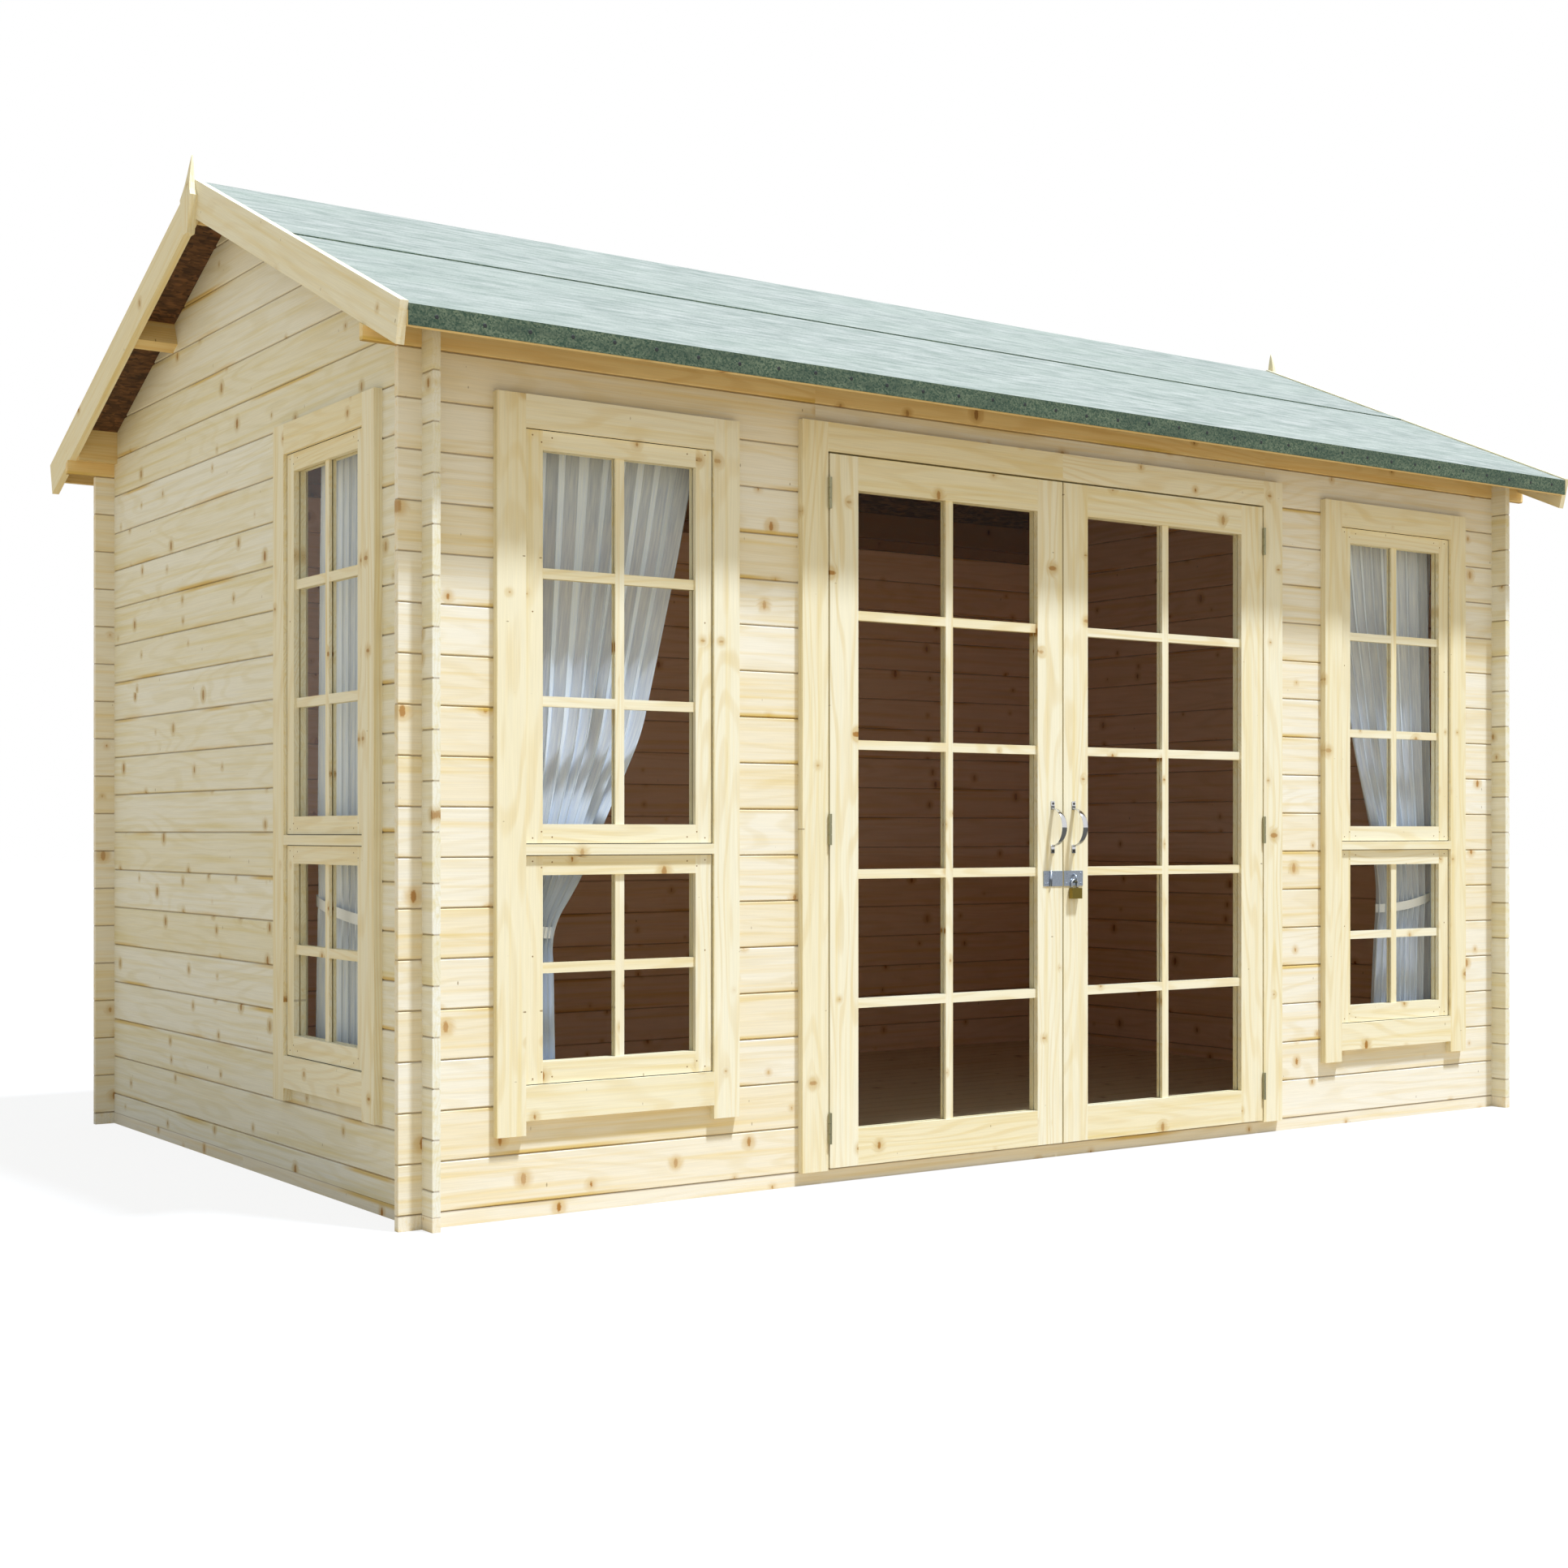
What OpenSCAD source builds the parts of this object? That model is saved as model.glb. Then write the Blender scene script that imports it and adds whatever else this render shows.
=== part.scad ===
// Log cabin: interlocking log walls, a felted gable roof, three casement windows
// and a pair of glazed doors.  Millimetres, +X right along the front, +Y to the
// back, +Z up.  The origin is on the ground at the middle of the plan.

/* [Cabin] */
// Length of the front wall between the outer faces of the side walls
cabin_w = 3582; // [3300:10:4600]
// Depth between the outer faces of the front and back walls
cabin_d = 2210; // [1900:10:3000]

/* [Logs] */
// Cover height of one log
log_h = 110; // [95:1:132]
// Thickness of a wall log
log_t = 19; // [16:1:28]
// Height of the walls from the bearers to the wall plate, to the nearest log
wall_h = 1870; // [1850:5:1980]
// Length of the log ends beyond the corner
stub_l = 54; // [40:1:70]
// Depth of the V joint cut along the edge of a log
vee = 3.5; // [2:0.5:5]

/* [Base] */
// Height of the sole logs and joists under the walls
base_h = 33; // [25:1:60]
// Width of a sole log or joist
bearer_w = 45; // [35:1:70]
// Gap between two timbers of the base
sole_gap = 0.3; // [0.1:0.1:1]
// Number of floor joists
joist_rows = 9; // [7:1:12]
// Thickness of the floor boards
floor_t = 14; // [12:1:25]

/* [Roof] */
// Rise of the roof for each unit of run
pitch = 0.43; // [0.3:0.01:0.6]
// Overhang of the eaves beyond the front and back walls
eaves_over = 182; // [140:1:260]
// Overhang of the roof beyond the side walls
gable_over = 128; // [100:1:220]
// Thickness of the roof boards
roof_t = 11; // [9:1:19]
// Thickness of one layer of felt
felt_t = 3; // [2:0.5:5]
// Clearance under each layer of felt
felt_gap = 0.2; // [0.1:0.1:0.5]
// Height of the felt hem at the eaves
hem_h = 45; // [40:1:60]
// Plan distance from the ridge to the edge of the ridge strip of felt
ridge_felt = 623; // [450:1:700]
// Plan width of the lap between the ridge strip and a lower strip
felt_lap = 75; // [50:1:120]
// Thickness of the eaves battens
batten_t = 18; // [15:1:30]
// Width of a purlin along the slope
purlin_w = 45; // [35:1:60]
// Depth of a purlin
purlin_d = 65; // [50:1:90]
// Plan distance of the middle purlins from the ridge
purlin_y = 560; // [450:1:640]
// Depth of the ridge purlin
ridge_d = 90; // [70:1:120]
// Thickness of the eaves purlins
eaves_purlin_t = 28; // [20:1:45]
// Drop of the eaves purlins below the top of the wall plate
eaves_purlin_drop = 71; // [60:1:90]
// Width of the bargeboards
barge_w = 90; // [75:1:120]
// Thickness of the bargeboards
barge_t = 19; // [15:1:28]
// Height of the bargeboards above the felt
barge_proud = 4; // [4:0.5:10]
// Thickness of the finials
finial_t = 20; // [15:1:28]
// Height of a finial
finial_h = 202; // [150:1:260]
// Greatest width of a finial
finial_w = 78; // [60:1:100]
// Height of the point of a finial above the bargeboards
finial_up = 58; // [40:1:80]

/* [Door] */
// Half of the width between the door trims
door_half = 747; // [640:1:800]
// Height of the underside of the door head above the ground
door_top = 1787; // [1720:1:1800]
// Thickness of a door leaf
leaf_t = 34; // [28:1:40]
// Gap round a door leaf
leaf_gap = 5; // [5:0.5:8]
// Width of the door stiles
stile_w = 84; // [70:1:100]
// Height of the top rail of a door leaf
top_rail = 83; // [70:1:100]
// Height of the bottom rail of a door leaf
bottom_rail = 91; // [80:1:120]
// Rows of panes in a door leaf
door_rows = 5; // [3:1:6]
// Width of the door trim boards
door_trim_w = 75; // [60:1:90]
// Height of the door head board
door_head_h = 71; // [60:1:80]

/* [Windows] */
// Width between the side boards of a window
sash_w = 484; // [400:1:540]
// Height of the top of the front window sashes above the ground
window_top = 1756; // [1700:1:1760]
// Height of the upper sash
upper_sash_h = 925; // [770:1:930]
// Height of the lower sash
lower_sash_h = 512; // [430:1:530]
// Height of the rail between the sashes
transom_h = 24; // [20:1:40]
// Width of the window side boards
window_trim_w = 70; // [55:1:85]
// Height of the window head board
window_head_h = 74; // [60:1:85]
// Height of the window sill board
sill_h = 78; // [60:1:90]
// Length of the side boards below the sill board
side_board_drop = 32; // [20:1:45]
// Distance from the front corner to the outer edge of a front window
window_edge = 167; // [140:1:200]
// Distance from the front corner to the front edge of the side window
side_window_edge = 213; // [180:1:400]
// Height of the side window above the front windows
side_window_up = 20; // [0:1:40]
// Width of the sash stiles and rails
sash_rail = 43; // [35:1:50]
// Width of the glazing bars
bar_w = 23; // [18:1:28]

/* [Boards and glass] */
// Thickness of the trim boards
trim_t = 20; // [16:1:25]
// Thickness of the linings in the openings
lining_t = 25; // [18:1:30]
// Thickness of the inner trim boards
inner_t = 18; // [15:1:22]
// Overlap of the inner boards behind the leaves and sashes
rebate = 11; // [8:1:16]
// Distance that the sashes lie back from the trim face
sash_set = 9; // [5:1:12]
// Distance that the glazing bars lie back from their frame
bar_set = 6; // [3:1:8]
// Thickness of the glass
glass_t = 4; // [3:1:6]
// Depth of glass held in its groove
glass_grip = 8; // [5:1:12]

/* [Hardware] */
// Height of a hinge
hinge_h = 76; // [60:1:90]
// Radius of a hinge knuckle
knuckle_r = 4.5; // [4:0.5:6]
// Radius of a hinge pin
pin_r = 2; // [1.5:0.1:2.5]
// Thickness of a hinge plate
plate_t = 2; // [1.5:0.1:2.2]
// Distance from the meeting line to the middle of a handle
handle_x = 36; // [30:1:45]
// Height of the middle of a handle
handle_z = 871; // [800:1:950]
// Length of a handle between its screws
handle_l = 126; // [110:1:160]
// Radius of the bow of a handle
handle_r = 48; // [40:1:52]
// Width of a handle
handle_w = 12; // [9:1:16]
// Thickness of a handle
handle_t = 4; // [3:0.5:6]
// Height of the middle of the hasp
hasp_z = 736; // [700:1:760]
// Length of the hasp on each side of the meeting line
hasp_l = 65; // [50:1:70]
// Height of the hasp
hasp_h = 40; // [30:1:46]
// Thickness of the hasp
hasp_t = 2; // [1.5:0.1:3]
// Distance from the meeting line to the staple
staple_x = 36; // [25:1:45]
// Width of the padlock
lock_w = 34; // [28:1:40]
// Height of the body of the padlock
lock_h = 28; // [22:1:36]
// Thickness of the padlock
lock_t = 14; // [12:1:18]

/* [Curtains] */
// Height of the tie above the ground
tie_z = 611; // [500:1:700]
// Depth of the gathered curtain
curtain_t = 36; // [25:1:45]
// Gap between the inner trim and the curtain
curtain_gap = 8; // [5:1:15]
// Radius of a curtain rod
rod_r = 6; // [5:0.5:8]

/* [Hidden] */
$fn = 32;

spruce = "#efe3c8";
pale_spruce = "#f3ead4";
warm_spruce = "#d9b676";
steel = "#c9ccd0";
dark_steel = "#4b4a48";

tiny = 0.01;
lap = 1;
above_roof = 40;

half_w = cabin_w / 2;
half_d = cabin_d / 2;
log_rows = round(wall_h / log_h);
front_y = -half_d;
left_x = -half_w;
plate_z = base_h + log_rows * log_h;
plate_top = plate_z + log_h;
side_joint = base_h + log_h / 2;
gable_z = side_joint + log_rows * log_h;
notch = log_h / 4;

// Roof lines: the underside and top of the boards, the underside and top of the
// felt, and the bargeboards, each as a height over a plan distance from the ridge.
slope = atan(pitch);
board_rise = roof_t / cos(slope);
felt_rise = felt_t / cos(slope);
function under(y) = plate_top + pitch * (half_d - abs(y));
function board_top(y) = under(y) + board_rise;
function felt_foot(y) = board_top(y) + felt_gap;
function felt_top(y) = felt_foot(y) + felt_rise;
function barge_top(y) = felt_top(y) + barge_proud / cos(slope);
function barge_foot(y) = barge_top(y) - barge_w / cos(slope);

eaves_y = half_d + eaves_over;
roof_x = half_w + gable_over - barge_t;
plate_x = half_w + gable_over + 5;
barge_lean = 23;
lap_y = ridge_felt - felt_lap;
hem_z = felt_top(eaves_y) - hem_h;
eaves_purlin_z = plate_top - eaves_purlin_drop;

// Door and window places
trim_y = front_y - trim_t;
wall_hole = door_half + lining_t;
inner_y = front_y + log_t;
leaf_z0 = base_h + leaf_gap;
leaf_z1 = door_top - leaf_gap;
leaf_x1 = door_half - leaf_gap;
leaf_x0 = leaf_gap / 2;
// Face of the inner boards that the leaves close against
leaf_stop = 5;
stop_y = trim_y + leaf_t + leaf_stop;
floor_top = base_h + floor_t;
window_half = sash_w / 2 + window_trim_w;
window_x = half_w - window_edge - window_half;
window_h = upper_sash_h + transom_h + lower_sash_h;
window_z = window_top - window_h;
side_window_y = front_y + side_window_edge + window_half;
sash_gap = 2;
sash_t = trim_t + log_t - sash_set;
window_bottom_rail = sash_rail + 6;

hinge_y = trim_y - knuckle_r - 0.3;
hinge_x = door_half - leaf_gap / 2;
knuckle_gap = 1;
pin_gap = 0.3;
hinge_zs = [leaf_z0 + 98, leaf_z0 + (leaf_z1 - leaf_z0) * 0.474, leaf_z1 - 97];

curtain_y = inner_y + inner_t + curtain_gap;
rod_y = curtain_y + curtain_t / 2;
rod_z = window_h + 22;
curtain_top = rod_z - rod_r - 0.3;

// ---------- shared shapes ----------

// A box between two corners
module block(a, b) translate(a) cube(b - a);

// An outline in Y and Z, drawn out along X
module along_x(x0, x1)
    translate([x0, 0, 0]) rotate([90, 0, 90]) linear_extrude(x1 - x0) children();

// An outline in X and Z, drawn out along Y
module along_y(y0, y1)
    translate([0, y1, 0]) rotate([90, 0, 0]) linear_extrude(y1 - y0) children();

// One side of a stack of logs from z0 to z1, with a V at each joint
function log_edge(joint, z0, z1) =
    let (k0 = ceil((z0 - joint) / log_h - tiny), k1 = floor((z1 - joint) / log_h + tiny))
    concat(
        joint + k0 * log_h > z0 + tiny ? [[0, z0]] : [],
        [for (k = [k0:k1]) let (z = joint + k * log_h) each [
            if (z > z0 + tiny) [0, z - vee],
            [vee, z],
            if (z < z1 - tiny) [0, z + vee]]],
        joint + k1 * log_h < z1 - tiny ? [[0, z1]] : []);

// The section of a stack of logs, log_t thick from zero
module log_section(joint, z0, z1) {
    outer = log_edge(joint, z0, z1);
    last = len(outer) - 1;
    polygon(concat(outer, [for (i = [0:last]) [log_t - outer[last - i].x, outer[last - i].y]]));
}

// Notches of the front and back logs, which the side logs fill
module long_notches(y, rows) {
    for (x = [-half_w, half_w - log_t], k = [0:rows])
        block([x, y - lap, base_h + k * log_h - notch],
            [x + log_t, y + log_t + lap, base_h + k * log_h + notch]);
}

// Notches of the side logs, which the front and back logs fill
module side_notches(x) {
    for (y = [-half_d, half_d - log_t], k = [0:log_rows])
        block([x - lap, y, side_joint + k * log_h - notch],
            [x + log_t + lap, y + log_t, side_joint + k * log_h + notch]);
}

// A run of front or back logs between two X places
module long_wall(y, x0, x1, z0)
    difference() {
        along_x(x0, x1) translate([y, 0]) log_section(base_h, z0, plate_z);
        long_notches(y, log_rows);
    }

// A side wall from the bearers to the foot of the gable
module side_wall(x)
    difference() {
        along_y(-half_d - stub_l, half_d + stub_l)
            translate([x, 0]) log_section(side_joint, base_h, gable_z);
        side_notches(x);
        along_x(x - lap, x + log_t + lap) purlin_cuts();
    }

module window_hole(z0)
    translate([-sash_w / 2 - lining_t, z0 - lining_t])
        square([sash_w + 2 * lining_t, window_h + 2 * lining_t]);

// ---------- base and floor ----------

// Sole logs under the walls, with crossed ends like the logs above, and joists.
// Each timber stands a hair apart from the next, so that it stays a piece of its own.
module base_frame()
    color(spruce) {
        pitch_x = (2 * half_w - bearer_w) / (joist_rows + 1);
        for (s = [0, 1]) mirror([0, s, 0]) {
            block([-half_w, -half_d, 0], [half_w, bearer_w - half_d, base_h]);
            for (t = [0, 1]) mirror([t, 0, 0]) {
                block([-half_w - stub_l, -half_d, 0], [-half_w - sole_gap, inner_y, base_h]);
                block([-half_w, -half_d - stub_l, 0], [log_t - half_w, -half_d - sole_gap, base_h]);
            }
        }
        for (i = [0:joist_rows + 1]) {
            x = -half_w + i * pitch_x;
            block([x, bearer_w - half_d + sole_gap, 0],
                [x + bearer_w, half_d - bearer_w - sole_gap, base_h]);
        }
    }

// The floor, cut back at the doorway where thicker leaves would reach it
module floor_boards()
    color(warm_spruce)
        difference() {
            block([-half_w + log_t, inner_y, base_h], [half_w - log_t, half_d - log_t, floor_top]);
            block([-door_half, inner_y - lap, 0], [door_half, stop_y, floor_top + lap]);
        }

// ---------- walls ----------

module front_wall_left()
    color(pale_spruce)
        difference() {
            long_wall(front_y, -half_w - stub_l, -wall_hole, base_h);
            along_y(front_y - lap, inner_y + lap)
                translate([-window_x, 0]) window_hole(window_z);
        }

module front_wall_right() color(pale_spruce) mirror([1, 0, 0]) front_wall_left();

module front_wall_over_door()
    color(pale_spruce) long_wall(front_y, -wall_hole, wall_hole, door_top + lining_t);

module back_wall()
    color(pale_spruce) long_wall(half_d - log_t, -half_w - stub_l, half_w + stub_l, base_h);

module left_wall()
    color(spruce)
        difference() {
            side_wall(-half_w);
            along_x(-half_w - lap, -half_w + log_t + lap)
                translate([side_window_y, 0]) window_hole(window_z + side_window_up);
        }

module right_wall() color(spruce) side_wall(half_w - log_t);

module gable(x)
    difference() {
        intersection() {
            along_y(inner_y, -inner_y)
                translate([x, 0]) log_section(side_joint, gable_z, under(0));
            along_x(x - lap, x + log_t + lap)
                polygon([[-half_d, 0], [half_d, 0], [half_d, under(half_d)], [0, under(0)],
                    [-half_d, under(half_d)]]);
        }
        along_x(x - lap, x + log_t + lap) purlin_cuts();
    }

// Seats of the purlins in the side walls, open above the roof line
module purlin_cuts() {
    for (s = [0, 1]) mirror([s, 0]) {
        translate([inner_y - lap, eaves_purlin_z])
            square([eaves_purlin_t + lap, eaves_purlin_drop + above_roof]);
        translate([-purlin_y, under(purlin_y)]) rotate(slope)
            translate([-purlin_w / 2, -purlin_d]) square([purlin_w, purlin_d + above_roof]);
    }
    translate([-purlin_w / 2, under(0) - ridge_d]) square([purlin_w, ridge_d + above_roof]);
}

module left_gable() color(spruce) gable(-half_w);
module right_gable() color(spruce) gable(half_w - log_t);

// ---------- roof timbers ----------

// The log under each eave, with its top cut to the slope.  Its ends run out below
// the bargeboards, which are housed over them.
module wall_plates()
    color(warm_spruce)
        for (s = [0, 1]) mirror([0, s, 0])
            difference() {
                along_x(-plate_x, plate_x)
                    polygon([[front_y + vee, plate_z], [front_y, plate_z + vee],
                        [front_y, under(front_y)], [inner_y, under(inner_y)],
                        [inner_y, plate_z + vee], [inner_y - vee, plate_z]]);
                for (x = [-half_w, half_w - log_t])
                    block([x, front_y - lap, plate_z - lap],
                        [x + log_t, inner_y + lap, plate_z + notch]);
                for (x = [-plate_x - lap, roof_x])
                    along_x(x, x + plate_x - roof_x + lap)
                        polygon([[-eaves_y, barge_foot(eaves_y)], [0, barge_foot(0)],
                            [0, barge_foot(0) + log_h], [-eaves_y, barge_foot(0) + log_h]]);
            }

module eaves_purlin_sections()
    for (s = [0, 1]) mirror([s, 0])
        polygon([[inner_y, eaves_purlin_z], [inner_y, under(inner_y)],
            [inner_y + eaves_purlin_t, under(inner_y + eaves_purlin_t)],
            [inner_y + eaves_purlin_t, eaves_purlin_z]]);

module eaves_purlins()
    color(warm_spruce) along_x(-roof_x, roof_x) eaves_purlin_sections();

module ridge_section()
    polygon([[0, under(0)], [-purlin_w / 2, under(purlin_w / 2)],
        [-purlin_w / 2, under(0) - ridge_d], [purlin_w / 2, under(0) - ridge_d],
        [purlin_w / 2, under(purlin_w / 2)]]);

module ridge_purlin() color(warm_spruce) along_x(-roof_x, roof_x) ridge_section();

module middle_purlin_sections()
    for (s = [0, 1]) mirror([s, 0])
        translate([-purlin_y, under(purlin_y)]) rotate(slope)
            translate([-purlin_w / 2, -purlin_d]) square([purlin_w, purlin_d]);

module middle_purlins()
    color(warm_spruce) along_x(-roof_x, roof_x) middle_purlin_sections();

// ---------- roof covering ----------

module roof_boards_front()
    color("#6b4a2c")
        along_x(-roof_x, roof_x)
            polygon([[0, under(0)], [0, board_top(0)],
                [felt_t - eaves_y, board_top(eaves_y - felt_t)],
                [felt_t - eaves_y, under(eaves_y - felt_t)]]);

module roof_boards_back() mirror([0, 1, 0]) roof_boards_front();

// The battens that stiffen the edge of the roof boards and take the felt nails
module eaves_battens()
    color(warm_spruce)
        for (s = [0, 1]) mirror([0, s, 0])
            along_x(-roof_x, roof_x)
                polygon([[felt_t - eaves_y, hem_z], [felt_t - eaves_y, under(eaves_y - felt_t)],
                    [felt_t - eaves_y + batten_t, under(eaves_y - felt_t - batten_t)],
                    [felt_t - eaves_y + batten_t, hem_z]]);

module felt_front()
    color("#c9d8d6")
        along_x(-roof_x, roof_x)
            polygon([[-eaves_y, hem_z], [-eaves_y, felt_top(eaves_y)],
                [-lap_y, felt_top(lap_y)], [-lap_y, felt_foot(lap_y)],
                [felt_t - eaves_y, felt_foot(eaves_y - felt_t)], [felt_t - eaves_y, hem_z]]);

module felt_back() mirror([0, 1, 0]) felt_front();

// The ridge strip lies on the boards, and on the upper edges of the lower strips
module felt_ridge()
    color("#c3d3d0")
        along_x(-roof_x, roof_x) {
            dip = lap_y - 4 * felt_t;
            edge = lap_y - felt_gap;
            side = [[edge, felt_foot(edge)], [edge, felt_top(edge) + felt_gap],
                [ridge_felt, felt_top(ridge_felt) + felt_gap],
                [ridge_felt, felt_top(ridge_felt) + felt_gap + felt_rise],
                [lap_y, felt_top(lap_y) + felt_gap + felt_rise], [dip, felt_top(dip)]];
            polygon(concat([[0, felt_foot(0)]], side, [[0, felt_top(0)]],
                [for (i = [5:-1:0]) [-side[i].x, side[i].y]]));
        }

// ---------- gable ends ----------

module bargeboard(x)
    along_x(x, x + barge_t)
        polygon([[0, barge_top(0)], [-eaves_y, barge_top(eaves_y)],
            [barge_lean - eaves_y, barge_foot(eaves_y - barge_lean)], [0, barge_foot(0)]]);

module bargeboard_left_front() color(pale_spruce) bargeboard(-roof_x - barge_t);
module bargeboard_left_back() mirror([0, 1, 0]) bargeboard_left_front();
module bargeboard_right_front() color(pale_spruce) bargeboard(roof_x);
module bargeboard_right_back() mirror([0, 1, 0]) bargeboard_right_front();

// A pointed board over each joint of the bargeboards: hollow sides above its
// widest place, straight ones down to a blunt end, and a face bevelled to the point
module finials() {
    tip = barge_top(0) + finial_up;
    wide = tip - finial_h * 0.54;
    foot = tip - finial_h;
    foot_w = finial_w * 0.36;
    point_t = finial_t * 0.15;
    arc = [for (i = [0:6]) let (a = i / 6)
        [finial_w / 2 * (1 - a) * (1 - 0.38 * sin(180 * a)), wide + (tip - wide) * a]];
    right = concat([[foot_w / 2, foot]], arc);
    outer = roof_x + barge_t + finial_t;
    color(pale_spruce)
        for (s = [0, 1]) mirror([s, 0, 0])
            intersection() {
                along_x(-outer, finial_t - outer)
                    polygon(concat(right, [for (i = [len(right) - 2:-1:0])
                        [-right[i].x, right[i].y]]));
                along_y(-finial_w, finial_w)
                    polygon([[-outer, foot], [-outer, wide],
                        [finial_t - point_t - outer, tip], [finial_t - outer, tip],
                        [finial_t - outer, foot]]);
            }
}

// ---------- door frame ----------

module door_frame()
    color(spruce)
        difference() {
            union() {
                block([-wall_hole, front_y, base_h], [wall_hole, inner_y, door_top + lining_t]);
                block([-door_half - door_trim_w, inner_y, floor_top],
                    [door_half + door_trim_w, inner_y + inner_t, door_top + door_head_h]);
            }
            block([-door_half, front_y - lap, 0], [door_half, stop_y, door_top]);
            block([rebate - door_half, stop_y - lap, 0],
                [door_half - rebate, inner_y + inner_t + lap, door_top - rebate]);
        }

module door_trim()
    color(pale_spruce)
        difference() {
            block([-door_half - door_trim_w, trim_y, base_h],
                [door_half + door_trim_w, front_y, door_top + door_head_h]);
            block([-door_half, trim_y - lap, 0], [door_half, front_y + lap, door_top]);
        }

// ---------- door leaves ----------

// Outline of a frame with its glazing bars, from zero to w and z0 to z1
module glazed_bars(w, z0, z1, rows) {
    pane_h = (z1 - z0 - (rows - 1) * bar_w) / rows;
    translate([w / 2 - bar_w / 2, z0]) square([bar_w, z1 - z0]);
    for (i = [1:rows - 1])
        translate([0, z0 + i * pane_h + (i - 1) * bar_w]) square([w, bar_w]);
}

// A glazed leaf whose outer corner is at the origin: its stiles, its rails, its
// bars and the groove for the glass
module glazed_leaf(w, h, t, side, top, bottom, rows) {
    difference() {
        union() {
            along_y(0, t)
                difference() {
                    square([w, h]);
                    translate([side, bottom]) square([w - 2 * side, h - top - bottom]);
                }
            along_y(bar_set, t - bar_set)
                translate([side, 0]) glazed_bars(w - 2 * side, bottom, h - top, rows);
        }
        leaf_glass(w, h, t, side, top, bottom);
    }
}

module leaf_glass(w, h, t, side, top, bottom)
    block([side - glass_grip, t / 2 - glass_t / 2, bottom - glass_grip],
        [w - side + glass_grip, t / 2 + glass_t / 2, h - top + glass_grip]);

leaf_w = leaf_x1 - leaf_x0;
leaf_h = leaf_z1 - leaf_z0;

module right_door()
    color(pale_spruce)
        translate([leaf_x0, trim_y, leaf_z0])
            glazed_leaf(leaf_w, leaf_h, leaf_t, stile_w, top_rail, bottom_rail, door_rows);

module left_door() mirror([1, 0, 0]) right_door();

module right_door_glass()
    color("#b9c6c4", 0.5)
        translate([leaf_x0, trim_y, leaf_z0])
            leaf_glass(leaf_w, leaf_h, leaf_t, stile_w, top_rail, bottom_rail);

module left_door_glass() mirror([1, 0, 0]) right_door_glass();

// ---------- hinges ----------

module hinge_plate(x, y0, y1, z0, z1)
    block([min(x, x + plate_t), y0, z0], [max(x, x + plate_t), y1, z1]);

// Knuckles, pin and plate that stay on the frame
module frame_hinge(z) {
    third = (hinge_h - 2 * knuckle_gap) / 3;
    for (z0 = [z - hinge_h / 2, z + hinge_h / 2 - third]) {
        translate([hinge_x, hinge_y, z0]) cylinder(h = third, r = knuckle_r);
        hinge_plate(door_half - plate_t, hinge_y, trim_y + lap, z0, z0 + third);
    }
    translate([hinge_x, hinge_y, z - hinge_h / 2]) cylinder(h = hinge_h, r = pin_r);
    hinge_plate(door_half - plate_t, trim_y + 0.5, front_y - lap, z - hinge_h / 2,
        z + hinge_h / 2);
}

// Knuckle and plate that swing with the door
module leaf_hinge(z) {
    third = (hinge_h - 2 * knuckle_gap) / 3;
    z0 = z - third / 2;
    difference() {
        union() {
            translate([hinge_x, hinge_y, z0]) cylinder(h = third, r = knuckle_r);
            hinge_plate(leaf_x1, hinge_y, trim_y + lap, z0, z0 + third);
        }
        translate([hinge_x, hinge_y, z0 - lap]) cylinder(h = third + 2 * lap, r = pin_r + pin_gap);
    }
    hinge_plate(leaf_x1, trim_y + 0.5, front_y - lap, z - hinge_h / 2, z + hinge_h / 2);
}

module frame_hinges()
    color(dark_steel)
        for (s = [0, 1], z = hinge_zs) mirror([s, 0, 0]) frame_hinge(z);

module right_door_hinges() color(dark_steel) for (z = hinge_zs) leaf_hinge(z);
module left_door_hinges() mirror([1, 0, 0]) right_door_hinges();

// ---------- handles and hasp ----------

// A half ring about an axis along X, standing out from a face at y
module half_ring(y, r) {
    difference() {
        translate([0, y, 0]) rotate([0, 90, 0]) rotate_extrude() translate([r, 0]) children();
        block([-r, y, -2 * r], [r, y + 2 * r, 2 * r]);
    }
}

// A bowed strap with a screwed tab at each end
module right_handle()
    color(steel)
        translate([handle_x, 0, handle_z]) {
            half_ring(trim_y - handle_t / 2, handle_r)
                square([handle_t, handle_w], center = true);
            for (s = [-1, 1]) {
                z = s * (handle_l / 2 + handle_w / 2);
                foot = s * (handle_r - handle_t / 2);
                block([-handle_w / 2, trim_y - handle_t / 2, min(z, foot)],
                    [handle_w / 2, trim_y, max(z, foot)]);
            }
        }

module left_handle() mirror([1, 0, 0]) right_handle();

// The hinged strap is kept to its own leaf, so that either leaf opens alone
module hasp_plate()
    color(steel)
        block([-leaf_x0 - hasp_l, trim_y - hasp_t, hasp_z - hasp_h / 2],
            [-leaf_x0, trim_y, hasp_z + hasp_h / 2]);

staple_r = 10;
staple_wire = 2.2;
shackle_r = 10;
shackle_wire = 2.5;
shackle_y = trim_y - hasp_t - 3.2;
// The shackle hangs low in the eye of the staple
shackle_z = hasp_z - 3.6 - shackle_r;
lock_top = shackle_z - 12;

module hasp_staple()
    color("#8f8a52") {
        block([leaf_x0, trim_y - hasp_t, hasp_z - hasp_h / 2],
            [leaf_x0 + hasp_l, trim_y, hasp_z + hasp_h / 2]);
        translate([staple_x, 0, hasp_z])
            half_ring(trim_y - hasp_t, staple_r) circle(staple_wire);
    }

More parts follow.
